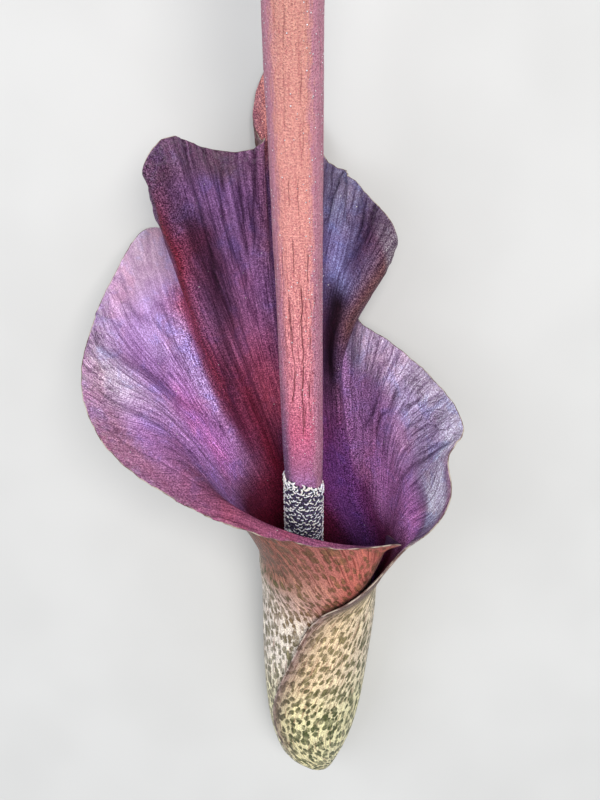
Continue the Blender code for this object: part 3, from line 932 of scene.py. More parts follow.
painted_numbers = {
    # How far the spots of the outside reach from their middles.
    "spot_reach": summed(
        0.41, 0, 1,
        (0, EVERYWHERE, -1.0, 3.5, 2.0, 0.05),
        ("lip_corner", 3.0, 6.0, 15.0, 2.0, -0.07),
        ("lip_left", 3.0, -1.0, 15.0, 1.0, 0.04),
    ),
    # How strong the veins of the inside are.
    "veins": summed(
        1.0, 0.15, 1,
        (27.5, 1.2, 12.6, 15.0, 0.8, -0.70),
        ("lip_front_left", 3.0, -1.0, 15.0, 1.0, -0.35),
        (9.0, 2.2, -1.0, 12.65, 0.7, -0.55),
        (7.0, 2.0, -1.0, 15.0, 1.0, -0.10),
        (ROSY_ROUTE, 1.0, 11.8, 15.0, 0.4, -0.60),
    ),
    # How deep its nap is: the grain's bump and the strength of its painted highlights and shade.
    "nap": summed(
        0.50, 0, 1.15,
        (0, EVERYWHERE, -1.0, 12.0, 1.0, 0.20),
        ("left_turn", 1.8, 12.75, 15.0, 0.9, -0.25),
        (ROSY_ROUTE, 1.2, 11.7, 15.0, 0.6, 0.70),
        (26.1, 0.8, 12.2, 12.9, 0.4, 0.60),
        (11.4, 0.9, -1.0, 15.0, 1.0, 0.50),
        (9.0, 2.4, -1.0, 12.6, 0.8, 0.45),
        (19.0, 1.7, -1.0, 15.0, 1.0, 0.40),
    ),
    # How much it is wrinkled.
    "wrinkled": summed(
        0.0, 0, 1,
        ("right_mid", 3.0, 12.55, 15.0, 0.7, 1.00),
        ("right_mid", 3.0, 13.65, 15.0, 0.5, -0.60),
        (29.4, 1.3, 13.15, 15.0, 0.5, 0.90),
    ),
    # How dry the margin has become.
    "dryness": summed(
        0.0, 0, 1,
        (0, EVERYWHERE, 13.75, 15.0, 0.5, 0.15),
        ("right_side", 4.0, 13.75, 15.0, 0.5, 0.50),
        ("left_high", 3.0, 13.75, 15.0, 0.5, 0.30),
    ),
}
# Painted shade: how much the creases and the bottoms of the furrows are darkened.
painted_numbers["lines"] = np.maximum(crease_shade, 0.4 * furrow_shade * painted_numbers["veins"])
for label, values in painted_numbers.items():
    print(label, "from", values.min().round(2), "to", values.max().round(2))

# %% [markdown]
# ## What the spathe is made of
#
# Inside, the skin is velvety: fine dark veins fan out along the ribs, and tiny cells over lilac and
# maroon carry painted highlights and shade. Outside, it is smooth and spotted like a snake. Both
# materials read the painted colours and the flow, so veins and spots follow the sheet.


# %% Inside material
def wrinkle_net(tree, run):
    """Two sets of long fine wrinkles, turned to either side of the ribs, that cross as a net."""
    sets = []
    for slant in (-0.18, 0.26):
        inputs = {"Vector": run, "Angle": slant}
        turned = add_node(tree, "ShaderNodeVectorRotate", inputs, rotation_type="Z_AXIS").outputs[0]
        sets.append(threads(tree, noise(tree, turned, (0.36, 0.050, 0), 1.5, 0.5, 0.6), 0.024))
    return maths(tree, "MAXIMUM", *sets)


VEIN_TINT = (0.34, 0.24, 0.36)
WRINKLE_TINT = (0.42, 0.30, 0.40)
CREASE_SHADE_TINT = (0.18, 0.10, 0.18)
DRY_SKIN = (0.60, 0.52, 0.56)
DUST_WHITE = (0.80, 0.74, 0.72)


def spathe_inside_material():
    """Velvet: painted ground, fibres along the ribs, a net of wrinkles, creases and a deep grain, with
    painted highlights and shade.
    """
    material, tree, place = begin_material("spathe_inside", 0.6, gloss=0.10)
    run = painted_on(tree, "flow", "Vector")
    nap_depth = painted_on(tree, "nap")
    vein_depth = painted_on(tree, "veins")
    fibre = noise(tree, run, (1.15, 0.028, 0), 2.5, 0.6, 0.12)
    cord = noise(tree, run, (0.36, 0.016, 0), 2.0, 0.6, 0.3)
    grain = noise(tree, place, 1.45, 1.5, 0.7)
    cloud = noise(tree, place, 0.085, 3.0, 0.6, 0.5)
    warm = noise(tree, place, (0.06, 0.036, 0.06), 2.0, 0.5)
    colour = tint_layers(
        tree, painted_on(tree, "ground", "Color"),
        (cloud, 0.50, 0.68, (0.88, 1.05, 1.20), 0.70),
        (cloud, 0.48, 0.32, (0.74, 0.66, 0.76), 0.60),
        (warm, 0.50, 0.66, (1.18, 0.95, 0.88), 0.50),
        (fibre, 0.47, 0.34, (0.44, 0.36, 0.46), 0.75, vein_depth),
        # Painted highlight on the raised side of the fibres.
        (fibre, 0.53, 0.66, (1.50, 1.62, 1.50), 0.75, vein_depth),
    )
    colour = tinted(tree, colour, times(tree, threads(tree, cord, 0.034), vein_depth), VEIN_TINT, 0.65)
    wrinkle = times(tree, wrinkle_net(tree, run), painted_on(tree, "wrinkled"))
    colour = tinted(tree, colour, wrinkle, WRINKLE_TINT, 0.40)
    colour = tint_layers(
        tree, colour,
        # Painted highlight and painted shade on the grain of the nap.
        (grain, 0.50, 0.38, (0.30, 0.20, 0.30), 1.0, nap_depth),
        (grain, 0.52, 0.64, (2.10, 2.50, 2.10), 1.0, nap_depth),
    )
    # Painted shade in the creases and at the bottoms of the furrows.
    colour = tinted(tree, colour, painted_on(tree, "lines"), CREASE_SHADE_TINT, 0.9)
    scuff = remap(tree, noise(tree, place, 0.40, 4.0, 0.65), 0.46, 0.62)
    colour = blend(tree, times(tree, painted_on(tree, "dryness"), scuff, 0.6), colour, DRY_SKIN)
    mote = remap(tree, cells(tree, place, 0.16)[0], 0.030, 0.050, 1.0, 0.0)
    colour = blend(tree, times(tree, mote, 0.8), colour, DUST_WHITE)
    ribs_up = times(tree, maths(tree, "ADD", times(tree, fibre, 0.5), cord), vein_depth)
    relief = maths(tree, "SUBTRACT", ribs_up, times(tree, wrinkle, 0.5))
    return dress(material, colour, (relief, 0.9), (times(tree, grain, nap_depth), 1.3))


# %% Outside material
def snake_spots(tree, run, fibre):
    """How deep each point lies in a spot, below 0 outside it.

    It is the painted reach, more in some patches and on some fibres, less the distance to the
    nearest middle. The middles stand in cells longer than wide, swayed by a noise.
    """
    sway = add_node(tree, "ShaderNodeTexNoise", {"Vector": run, "Scale": 0.40, "Detail": 3.0})
    swayed = {0: stretched(tree, run, (0.35, 0.165, 0)),
              1: stretched(tree, sway.outputs["Color"], (0.9, 0.6, 0))}
    swayed = add_node(tree, "ShaderNodeVectorMath", swayed).outputs[0]
    distance = cells(tree, swayed, 1.0, 0.95, "2D")[0]
    patch = times(tree, noise(tree, run, (0.16, 0.08, 0), 2.0, 0.5), 0.90)
    reach = maths(tree, "ADD", painted_on(tree, "spot_reach"), patch)
    reach = maths(tree, "ADD", reach, times(tree, fibre, 0.40))
    return maths(tree, "SUBTRACT", maths(tree, "SUBTRACT", reach, 0.65), distance)


def spathe_outside_material():
    """Snake skin: painted ground, fine fibres, and elongated spots in the painted spot colour."""
    material, tree, place = begin_material("spathe_outside", 0.45, sheen=0.03, gloss=0.2)
    run = painted_on(tree, "flow", "Vector")
    fibre = noise(tree, run, (1.2, 0.055, 0), 2.0, 0.65, 0.2)
    inside_spot = snake_spots(tree, run, fibre)
    fade = remap(tree, noise(tree, place, 0.22, 2.0), 0.3, 0.6, 0.60, 1.00)
    ground = tint_layers(
        tree, painted_on(tree, "ground", "Color"),
        (fibre, 0.49, 0.34, (0.42, 0.28, 0.22), 0.85),
        (fibre, 0.52, 0.66, (1.45, 1.45, 1.25), 0.75),
    )
    spot = tint_layers(
        tree, painted_on(tree, "spot", "Color"),
        (inside_spot, 0.06, 0.34, (1.30, 1.30, 1.15), 1.0),
        (fibre, 0.49, 0.34, (0.50, 0.42, 0.36), 0.8),
        (fibre, 0.53, 0.68, (1.70, 1.60, 1.50), 0.8),
    )
    colour = blend(tree, times(tree, remap(tree, inside_spot, -0.07, 0.10), fade), ground, spot)
    grain = noise(tree, place, 1.5, 1.5, 0.7)
    colour = tint_layers(
        tree, colour,
        (grain, 0.49, 0.36, (0.50, 0.42, 0.38), 0.7),
        (grain, 0.52, 0.66, (1.45, 1.45, 1.40), 0.7),
    )
    return dress(material, colour, (fibre, 0.45), (grain, 0.30))


DRIED_BROWN = (0.110, 0.055, 0.045)
DRIED_STRAW = (0.40, 0.33, 0.26)


def spathe_edge_material():
    """The dried rim: a thin pale line, browner in places."""
    material, tree, place = begin_material("spathe_edge", 0.6)
    patch = remap(tree, noise(tree, place, 0.12, 2.0), 0.42, 0.58)
    return dress(material, blend(tree, patch, DRIED_BROWN, DRIED_STRAW))


# %% Outside flow
# How far the fibres lean, in millimetres for each that they climb, and the level at which the
# way round the tube is measured.
FLOW_LEAN = 0.55
GIRTH_LEVEL = 6.0


def outside_flow():
    """The run of the fibres outside the tube, in millimetres round and up.

    On the front below the lip the fibres lean: each steps to the left as it climbs.
    """
    lean = FLOW_LEAN * ramp(rib, 31.5, 34.5) * ramp(level, 5.0, 8.0)
    around = running(lengths(sheet_at(np.array([GIRTH_LEVEL]), across)[0], 0))
    step = np.diff(climb, axis=0, prepend=0)
    return around[None, :] + np.cumsum(lean * step, axis=0)


# %% Make the spathe
def stack_points(outer, inner):
    """One list of values: the outer skin's, the inner skin's, then the rim's, from the inner."""
    outer, inner = (values.reshape(-1, *values.shape[2:]) for values in (outer, inner))
    return np.concatenate([outer, inner, inner[edge_path]])


def make_spathe():
    """Two skins of the sheet and the rim between them, painted and given three materials."""
    count = SPATHE_ROWS * SPATHE_COLUMNS
    grid = grid_faces(SPATHE_ROWS, SPATHE_COLUMNS)
    rim = 2 * count + np.arange(len(edge_path))
    strips = np.concatenate([rim_faces(edge_path, rim), rim_faces(rim, edge_path + count)])
    faces = np.concatenate([grid, grid[:, ::-1] + count, strips])
    material_of = np.repeat([1, 0, 2], [len(grid), len(grid), len(strips)])
    points = stack_points(outer_skin, inner_skin)
    points[2 * count:] = rim_points
    outer_run = np.stack([outside_flow(), climb, np.zeros_like(climb)], -1)
    inner_run = np.stack([fan, climb, np.zeros_like(climb)], -1)
    painted = {
        "ground": stack_points(outside_colour, inside_colour),
        "spot": stack_points(spot_colour, spot_colour),
        "flow": stack_points(outer_run, inner_run),
    }
    for label, values in painted_numbers.items():
        painted[label] = stack_points(values, values)
    materials = [spathe_inside_material(), spathe_outside_material(), spathe_edge_material()]
    make_piece("spathe_sheet", kept_in_frame(points), faces.tolist(), materials, ["spathe"],
               material_of, painted)


make_spathe()

# %% [markdown]
# ## The spike
#
# The spadix grew as one spike. Its axis leans a little, so every ring of points is shifted by the
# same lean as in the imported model. The appendix is a long blunt cone. Its skin has shrunk over
# its core and shows long dark grooves that wander and pinch out.

# %% Size of the spike
HAIRLINE_GAP = 0.04
PEDUNCLE_FOOT = -211.5
FEMALE_FOOT = -184
MALE_FOOT = -92
APPENDIX_FOOT = 0
APPENDIX_TIP = 450
SPADIX_LEAN = ((-215, 8.5), (-180, 8), (-114, 5.5), (-40, 2), (0, 1.7), (200, -2.7), (450, -4))
PEDUNCLE_RADIUS = 9.2
PISTIL_CORE, PISTIL_HEIGHT = 9.0, 2.4
ANTHER_CORE, ANTHER_HEIGHT = 8.6, 1.3
BARE_RADIUS = 9.25
APPENDIX_PROFILE = (
    (0, BARE_RADIUS + 0.2), (6, 9.7), (16, 10.0), (40, 10.0), (90, 10.3), (150, 11.2), (205, 11.8),
    (260, 11.8), (320, 10.9), (370, 9.4), (410, 7.4), (435, 5.2), (446, 3.0), (450, 1.0),
)


def column_points(heights, angles, radii):
    """Rings of points round the leaning axis: u = middle + r sin, v = height, w = r cos."""
    middle = np.interp(heights, *zip(*SPADIX_LEAN))[:, None]
    height = np.broadcast_to(heights[:, None], radii.shape)
    return np.stack([middle + radii * np.sin(angles), height, radii * np.cos(angles)], -1)


def end_faces(rings, sides):
    """Triangles that close a column: its ends fan in to the two points that follow its rings."""
    side = np.arange(sides)
    following = (side + 1) % sides
    low, last = np.full(sides, rings * sides), (rings - 1) * sides
    ends = np.stack([low, following, side, low + 1, last + side, last + following], -1)
    return ends.reshape(-1, 3)


def with_ends(grid):
    """A column's values, followed by the middle of its lowest and its highest ring."""
    flat = grid.reshape(-1, *grid.shape[2:])
    return np.concatenate([flat, grid[0].mean(0)[None], grid[-1].mean(0)[None]])


def sides_of(count):
    """Angles all the way round, in radians."""
    return np.arange(count) * 2 * math.pi / count


def from_front(angles):
    """The same angles between minus and plus half a turn, 0 at the front."""
    return (angles + math.pi) % (2 * math.pi) - math.pi


def make_column(name, heights, angles, radii, material, stands_for, painted):
    """Make one piece of the spike from its rings."""
    points = kept_in_frame(lay_down(with_ends(column_points(heights, angles, radii))))
    rings, sides = radii.shape
    faces = grid_faces(rings, sides, closed=True).tolist() + end_faces(rings, sides).tolist()
    painted = {label: with_ends(values) for label, values in painted.items()}
    make_piece(name, points, faces, [material], [stands_for], painted=painted)


print("spike from", PEDUNCLE_FOOT, "to", APPENDIX_TIP, "mm along its axis")

# %% The appendix
APPENDIX_RINGS = 470
APPENDIX_SIDES = 200
# A ring this close to the end keeps the end's corner out of the shading of the side.
END_RING = 0.03
# The grooves that show best: depth and half width in millimetres, then heights and angles.
MAIN_GROOVES = (
    (0.85, 0.34, ((22, 4), (45, 4), (53, 6), (62, 10), (73, 4), (94, 6), (104, 7))),
    (0.75, 0.32, ((40, -29), (49, -23), (62, -15), (72, -20), (84, -25), (97, -27))),
    (0.60, 0.30, ((102, -13), (119, -12), (124, -13))),
    (0.60, 0.32, ((97, 23), (118, 22))),
    (0.70, 0.34, ((68, 24), (84, 25))),
    (0.65, 0.32, ((43, 22), (58, 24))),
    (0.45, 0.30, ((70, -28), (92, -26))),
    (0.30, 0.36, ((130, -17), (149, -14))),
    (0.35, 0.40, ((70, -50), (118, -38))),
    (0.60, 0.30, ((27, 10), (46, 12))),
    (0.50, 0.30, ((32, 24), (45, 25))),
    (0.45, 0.30, ((60, -6), (80, -9))),
    (0.40, 0.30, ((76, 15), (98, 14))),
    (0.30, 0.36, ((118, 6), (150, 3))),
    (0.25, 0.36, ((150, 16), (196, 12))),
    (0.25, 0.36, ((160, -22), (210, -16))),
)
LESSER_GROOVES = 54
LESSER_WIDTH = 0.34
# How far a groove fades at each end, in millimetres.
GROOVE_FADE = 6
WAVE_HEIGHT, LUMP_HEIGHT, WANDER = 0.22, 0.07, (0.55, 0.22)


def groove_routes():
    """The main grooves, then a seeded scatter of shallow ones up the sides, back and tip."""
    random = np.random.default_rng(7)
    routes = list(MAIN_GROOVES)
    for _ in range(LESSER_GROOVES):
        foot, length = random.uniform(12, 350), random.uniform(12, 60)
        angle, lean = random.uniform(62, 298), random.uniform(-6, 6)
        depth = random.uniform(0.2, 0.6)
        routes.append((depth, LESSER_WIDTH, ((foot, angle), (foot + length, angle + lean))))
    return routes


def appendix_relief(heights, angles, radius):
    """Millimetres to push the skin out, and how much painted shade darkens each point in a groove.

    Broad waves and small lumps come from random hills. A groove is a narrow valley round its
    route, with a small random wander, and it fades at both ends.
    """
    arc = radius * angles[None, :]
    tall = np.broadcast_to(heights[:, None], arc.shape)
    relief = WAVE_HEIGHT * rough_hills(arc / 4.2, tall / 26, seed=61, layers=2)
    relief = relief + LUMP_HEIGHT * rough_hills(arc / 1.2, tall / 2.4, seed=71, layers=2)
    dark = np.zeros_like(arc)
    for number, (depth, half_width, route) in enumerate(groove_routes()):
        stops, turns = zip(*route)
        turn = np.radians(np.interp(heights, stops, turns))[:, None]
        wander = WANDER[0] * hills(tall / 7, tall * 0 + number * 3.7, seed=81)
        wander = wander + WANDER[1] * hills(tall / 2.6, tall * 0 + number, seed=82)
        distance = from_front(angles[None, :] - turn) * radius - wander
        ends = ramp(tall, stops[0], stops[0] + GROOVE_FADE)
        ends = ends * (1 - ramp(tall, stops[-1] - GROOVE_FADE, stops[-1]))
        ends = ends * (0.85 + 0.25 * hills(tall / 9, tall * 0 + number * 1.9, seed=83))
        line = ends * bell(distance, half_width)
        relief = relief - depth * (0.75 * line + 0.3 * ends * bell(distance, 1.3))
        # Painted shade in the groove: darker where the groove is deeper.
        dark = np.maximum(dark, (0.35 + 0.75 * depth) * line)
    return relief, dark


# %% Colours of the appendix
SALMON = (0.540, 0.235, 0.195)
CORAL = (0.640, 0.262, 0.232)
WARM_CORAL = (0.650, 0.243, 0.240)
ROSE_CORAL = (0.620, 0.205, 0.257)
CRIMSON_PINK = (0.540, 0.120, 0.208)
FOOT_CRIMSON = (0.420, 0.128, 0.240)
FOOT_PURPLE = (0.350, 0.140, 0.300)
SKYLIT_SIDE_MAUVE = (0.420, 0.175, 0.255)
FOOT_SHADE = (0.105, 0.050, 0.130)
TIP_BROWN = (0.480, 0.200, 0.180)
APPENDIX_BANDS = (
    (0, FOOT_PURPLE), (10, FOOT_CRIMSON), (26, CRIMSON_PINK), (52, ROSE_CORAL), (90, WARM_CORAL),
    (125, CORAL), (200, SALMON), (370, SALMON), (450, TIP_BROWN),
)
# The mauve round the sides and back is painted light: the bluish sky falling on the sides.
MAUVE_RIGHT = math.radians(27)
MAUVE_LEFT = math.radians(-38)
MAUVE_STRENGTH = 0.85
# The shade of the hood on the left of the spike's foot.
SHADE_STRENGTH = 0.8


def appendix_colour(heights, angles):
    """Bands of colour up the spike, mauve painted for the bluish sky light round its sides and back with
    a mottled border, and the hood's painted shade at the foot.
    """
    stops, colours = zip(*APPENDIX_BANDS)
    bands = np.stack([np.interp(heights, stops, channel) for channel in zip(*colours)], -1)
    centred = from_front(angles)[None, :]
    mottled = centred + 0.22 * rough_hills(angles[None, :] * 12, heights[:, None] / 4, seed=65)
    right = ramp(mottled, MAUVE_RIGHT - 0.08, MAUVE_RIGHT + 0.30)
    left = 1 - ramp(mottled, MAUVE_LEFT - 0.35, MAUVE_LEFT + 0.10)
    side = (MAUVE_STRENGTH * np.maximum(right, left))[..., None]
    colour = bands[:, None, :] * (1 - side) + np.array(SKYLIT_SIDE_MAUVE) * side
    shade = SHADE_STRENGTH * (1 - ramp(centred, -1.0, -0.45)) * (centred > -2.2)
    shade = (shade * (1 - ramp(heights, 12, 60))[:, None])[..., None]
    return colour * (1 - shade) + np.array(FOOT_SHADE) * shade


# %% Skin of the appendix
# Tints for the painted highlights and painted shade on the specks of the velvet grain.
LIT_VELVET, SHADED_VELVET = (1.55, 1.85, 1.75), (0.50, 0.34, 0.50)
HAIR_TINT = (0.50, 0.25, 0.30)
GROOVE_SHADE = (0.105, 0.014, 0.022)
SPARK_WHITE = (0.92, 0.84, 0.88)
# How deep red, green and blue light go, in shares of SKIN_DEPTH.
FLESH_GLOW = (1.0, 0.3, 0.25)


def velvet(tree, place, colour, depth):
    """A deep fine grain over a colour, painted as lit and shaded specks, as strong as depth says. Returns
    the colour and the grain.
    """
    grain = noise(tree, place, 1.45, 1.5, 0.7)
    colour = tint_layers(tree, colour, (grain, 0.51, 0.66, LIT_VELVET, 1.0, depth),
                         (grain, 0.49, 0.36, SHADED_VELVET, 1.0, depth))
    return colour, grain


def appendix_material():
    """Velvet skin: painted bands, painted shade in the grooves, a deep fine grain and scattered white
    sparks.
    """
    material, tree, place = begin_material(
        "appendix_skin", 0.60, sheen=0.05, sheen_tint=(1, 0.8, 0.85), gloss=0.25, subsurface=0.05
    )
    tree.nodes["Principled BSDF"].inputs["Subsurface Radius"].default_value = FLESH_GLOW
    run = painted_on(tree, "flow", "Vector")
    fleck = noise(tree, run, (0.70, 0.28, 0), 3.0, 0.65)
    streak = noise(tree, run, (0.75, 0.040, 0), 2.0, 0.6, 0.3)
    colour = tint_layers(
        tree, painted_on(tree, "ground", "Color"),
        (streak, 0.46, 0.30, (0.72, 0.52, 0.58), 0.45),
        (streak, 0.54, 0.72, (1.15, 1.18, 1.10), 0.50),
        (fleck, 0.46, 0.30, (0.80, 0.60, 0.70), 0.65),
    )
    colour, grain = velvet(tree, place, colour, painted_on(tree, "nap"))
    hair = threads(tree, noise(tree, run, (0.42, 0.035, 0), 1.5, 0.5, 0.7), 0.022)
    hair = times(tree, hair, painted_on(tree, "cracks"))
    colour = tinted(tree, colour, hair, HAIR_TINT, 0.6)
    # Painted shade in the grooves.
    groove_shade = remap(tree, painted_on(tree, "groove"), 0.12, 0.75, 0.0, 0.88)
    colour = blend(tree, groove_shade, colour, GROOVE_SHADE)
    distance, lot = cells(tree, place, 0.85)
    drawn = add_node(tree, "ShaderNodeSeparateColor", {0: lot}).outputs[0]
    drawn = maths(tree, "LESS_THAN", drawn, painted_on(tree, "sparks"))
    spark = times(tree, remap(tree, distance, 0.20, 0.32, 1.0, 0.0), drawn)
    colour = blend(tree, spark, colour, SPARK_WHITE)
    low_relief = maths(tree, "SUBTRACT", streak, times(tree, hair, 0.4))
    return dress(material, colour, (low_relief, 0.45), (maths(tree, "ADD", grain, spark), 0.90))


# %% Make the appendix
# The rings close up towards the tip: the share of the height is 1 - (1 - t) to this power.
TIP_POWER = 1.15
# Millimetres that the skin and its relief stand back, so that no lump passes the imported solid.
SKIN_ALLOWANCE, RELIEF_ALLOWANCE = 0.2, 0.1


def make_appendix():
    """The appendix as one column of rings, closer together towards its tip."""
    share = np.linspace(0, 1, APPENDIX_RINGS)
    foot = APPENDIX_FOOT + HAIRLINE_GAP / 2
    heights = foot + (APPENDIX_TIP - foot) * (1 - (1 - share) ** TIP_POWER)
    heights[1] = foot + END_RING
    angles = sides_of(APPENDIX_SIDES)
    radius = np.interp(heights, *zip(*APPENDIX_PROFILE))[:, None]
    relief, groove = appendix_relief(heights, angles, radius)
    fade = np.clip(radius / 8, 0, 1) * ramp(heights, 0, 3)[:, None]
    radii = radius - SKIN_ALLOWANCE + (relief - RELIEF_ALLOWANCE) * fade
    centred = from_front(angles)
    border = bell(centred - MAUVE_RIGHT - 0.1, 0.22)
    sparks = 0.03 + 0.50 * (1 - ramp(np.cos(angles), 0.15, 0.60)) + 0.28 * border
    cracks = ramp(heights, 22, 50) * (1 - ramp(heights, 95, 135))
    # How strong the painted highlights and shade of the velvet grain are, up the spike.
    nap = 0.4 + 0.75 * (1 - ramp(heights, 20, 160))
    painted = {
        "ground": appendix_colour(heights, angles),
        "flow": np.stack(np.broadcast_arrays(radius * centred, heights[:, None], 0), -1),
        "groove": groove,
        "sparks": np.broadcast_to(sparks[None, :], groove.shape),
        "cracks": np.broadcast_to(cracks[:, None], groove.shape),
        "nap": np.broadcast_to(nap[:, None], groove.shape),
    }
    make_column("appendix_spike", heights, angles, radii, appendix_material(), "appendix",
                painted)


make_appendix()

# %% [markdown]
# ## Anthers and pollen
#
# The male zone is a dense cover of anthers, each barely two millimetres wide. Pollen oozes from
# their pores in white strings. The anthers are relief on one column, and the strings are short
# bent tubes laid over them, all worked out together as one array.

# %% The male zone
ANTHERS_ROUND = 28
ANTHER_PITCH = 2.15
MALE_SIDES = ANTHERS_ROUND * 7
MALE_RINGS = 270
# Where the anthers begin, below the bare skin: height at each angle round the spike.
ANTHER_TOP = (
    (-180, -7.0), (-110, -2.2), (-85, -0.8), (-62, -0.6), (-46, -1.5), (-28, -2.2), (0, -2.4),
    (20, -3.0), (40, -4.4), (65, -6.4), (90, -8.0), (130, -9.0), (180, -7.0),
)
ANTHER_TOP_RAGGED = 1.4


def anther_top(angles):
    """The ragged height at which the anthers begin, at any angle in radians."""
    degrees = np.degrees(from_front(angles))
    ragged_by = ANTHER_TOP_RAGGED * hills(degrees / 8, degrees * 0, seed=95)
    return np.interp(degrees, *zip(*ANTHER_TOP)) + ragged_by


def staggered(angles, heights, around, pitch):
    """Where each point lies in its floret's cell, from -1 to 1 each way, rows staggered."""
    row = heights / pitch
    shift = np.where(np.round(row).astype(int) % 2 == 0, 0.0, 0.5)
    turn = angles * around / (2 * math.pi) + shift
    return 2 * (turn - np.round(turn)), 2 * (row - np.round(row))


CLEFT_DEPTH, CLEFT_WIDTH = 0.28, 0.22


def male_radius(angles, heights):
    """Round-topped anthers with a cleft: core + height x (1 - d to the fourth), split in two.

    Above the ragged top they fade into the bare skin of the spike.
    """
    side, rise = staggered(angles, heights, ANTHERS_ROUND, ANTHER_PITCH)
    d = np.clip((side / 0.95) ** 2 + (rise / 0.95) ** 2, 0, 1)
    dome = np.sqrt(1 - d**2)
    cleft = CLEFT_DEPTH * bell(side, CLEFT_WIDTH) * (1 - d)
    size = 0.85 + 0.15 * hills(angles * ANTHERS_ROUND / 3.1, heights / ANTHER_PITCH * 1.3, seed=91)
    radius = ANTHER_CORE + ANTHER_HEIGHT * np.clip(dome - cleft, 0, 1) * size * 0.95
    above_top = ramp(heights, anther_top(angles) - 1.2, anther_top(angles) + 0.2)
    bare = np.maximum(above_top, ramp(heights, -1.4, -0.3))
    return radius + (BARE_RADIUS - radius) * bare, dome, bare


# %% Make the male zone
# Painted light on the anthers: near-black shade low between them, lighter violet on their tops.
SHADED_ANTHER, LIT_ANTHER = (0.008, 0.007, 0.020), (0.070, 0.050, 0.110)
# The bare skin above the anthers: how strong the painted highlights and shade of its grain are, and how
# light it is beside the appendix.
BARE_NAP = 1.15
BARE_LIGHT = 0.85


def anther_material():
    """Violet anthers, near-black in painted shade between them and lighter on their painted-lit tops, and
    above them the same velvet skin as the appendix.
    """
    material, tree, place = begin_material("anther_skin", 0.5, sheen=0.05, gloss=0.25)
    # The top of each anther dome is painted lighter and its foot darker, as light and shade.
    top = remap(tree, painted_on(tree, "top"), 0.2, 0.9)
    colour = blend(tree, top, SHADED_ANTHER, LIT_ANTHER)
    skin, _ = velvet(tree, place, painted_on(tree, "ground", "Color"), BARE_NAP)
    colour = blend(tree, painted_on(tree, "bare"), colour, skin)
    return dress(material, colour, (noise(tree, place, 1.5, 3.0, 0.7), 0.45))


def make_male_zone():
    """The band of anthers as one column of rings."""
    foot, top_end = MALE_FOOT + HAIRLINE_GAP / 2, APPENDIX_FOOT - HAIRLINE_GAP / 2
    heights = np.concatenate([np.linspace(foot, top_end - END_RING, MALE_RINGS - 1), [top_end]])
    angles = sides_of(MALE_SIDES)
    radii, top, bare = male_radius(*np.broadcast_arrays(angles[None, :], heights[:, None]))
    ground = appendix_colour(np.maximum(heights, 0), angles) * BARE_LIGHT
    # top is how high each point stands on its anther, for the painted light on the domes.
    make_column("male_florets", heights, angles, radii, anther_material(), "male_zone",
                {"top": top, "bare": bare, "ground": ground})


make_male_zone()

# %% Where the pollen strings lie
STRING_RINGS = 10
STRING_SIDES = 6
# How far below the ragged top the strings are still curls, in millimetres.
CURL_BAND = 4.0
STRINGS_KEPT = 0.94
HANGING_SHARE = 0.80
# The shortest and the longest string and how much longer a curl may be, then the same for their
# thickness, in millimetres.
STRING_LENGTH, CURL_LENGTH = (1.7, 2.9), 2.4
STRING_THICK, CURL_THICK = (0.20, 0.33), 0.18


def strings_plan():
    """A string over most anthers, and loose curls along the ragged top.

    Each has an angle, a height, a heading, a bend, a length and a thickness. The strings hang
    in rows as scallops, and the curls at the top are longer, thicker and turned at random.
    """
    random = np.random.default_rng(19)
    rows = int((APPENDIX_FOOT - MALE_FOOT) / ANTHER_PITCH) - 2
    row, column = np.meshgrid(np.arange(rows), np.arange(ANTHERS_ROUND), indexing="ij")
    row, column = row.ravel(), column.ravel()
    keep = random.random(row.size) < STRINGS_KEPT
    row, column = row[keep], column[keep]
    count = row.size
    turn = (column + 0.5 * (row % 2)) / ANTHERS_ROUND * 2 * math.pi + random.normal(0, 0.03, count)
    below = ANTHER_PITCH * (row + 0.35) + random.normal(0, 0.20, count)
    upper = 1 - ramp(below, 2.0, 2.0 + CURL_BAND)
    heading = random.normal(0, 0.42 + 0.65 * upper, count)
    bend = random.normal(2.3, 0.6 + 1.2 * upper, count)
    bend = bend * np.where(random.random(count) < HANGING_SHARE, 1, -1)
    length = random.uniform(*STRING_LENGTH, count) + upper * random.uniform(0.0, CURL_LENGTH, count)
    thick = random.uniform(*STRING_THICK, count) + CURL_THICK * upper
    return turn, anther_top(turn) - below, heading, bend, length, thick


# %% Make the pollen strings
# No string climbs further than this above the foot of the appendix, in millimetres.
HIGHEST_POLLEN = 3.5
POLLEN_WHITE, POLLEN_CREAM = (0.92, 0.91, 0.93), (0.92, 0.86, 0.78)
POLLEN_SHADE = (0.45, 0.42, 0.48)


def pollen_material():
    """Dusty white, creamier in places."""
    material, tree, place = begin_material("pollen", 0.7, subsurface=0.1)
    dust = noise(tree, place, 2.5, 2.0)
    patch = remap(tree, noise(tree, place, 0.25, 2.0), 0.42, 0.62)
    white = blend(tree, patch, POLLEN_WHITE, POLLEN_CREAM)
    return dress(material, tint_layers(tree, white, (dust, 0.52, 0.38, POLLEN_SHADE, 0.8)), (dust, 0.12))


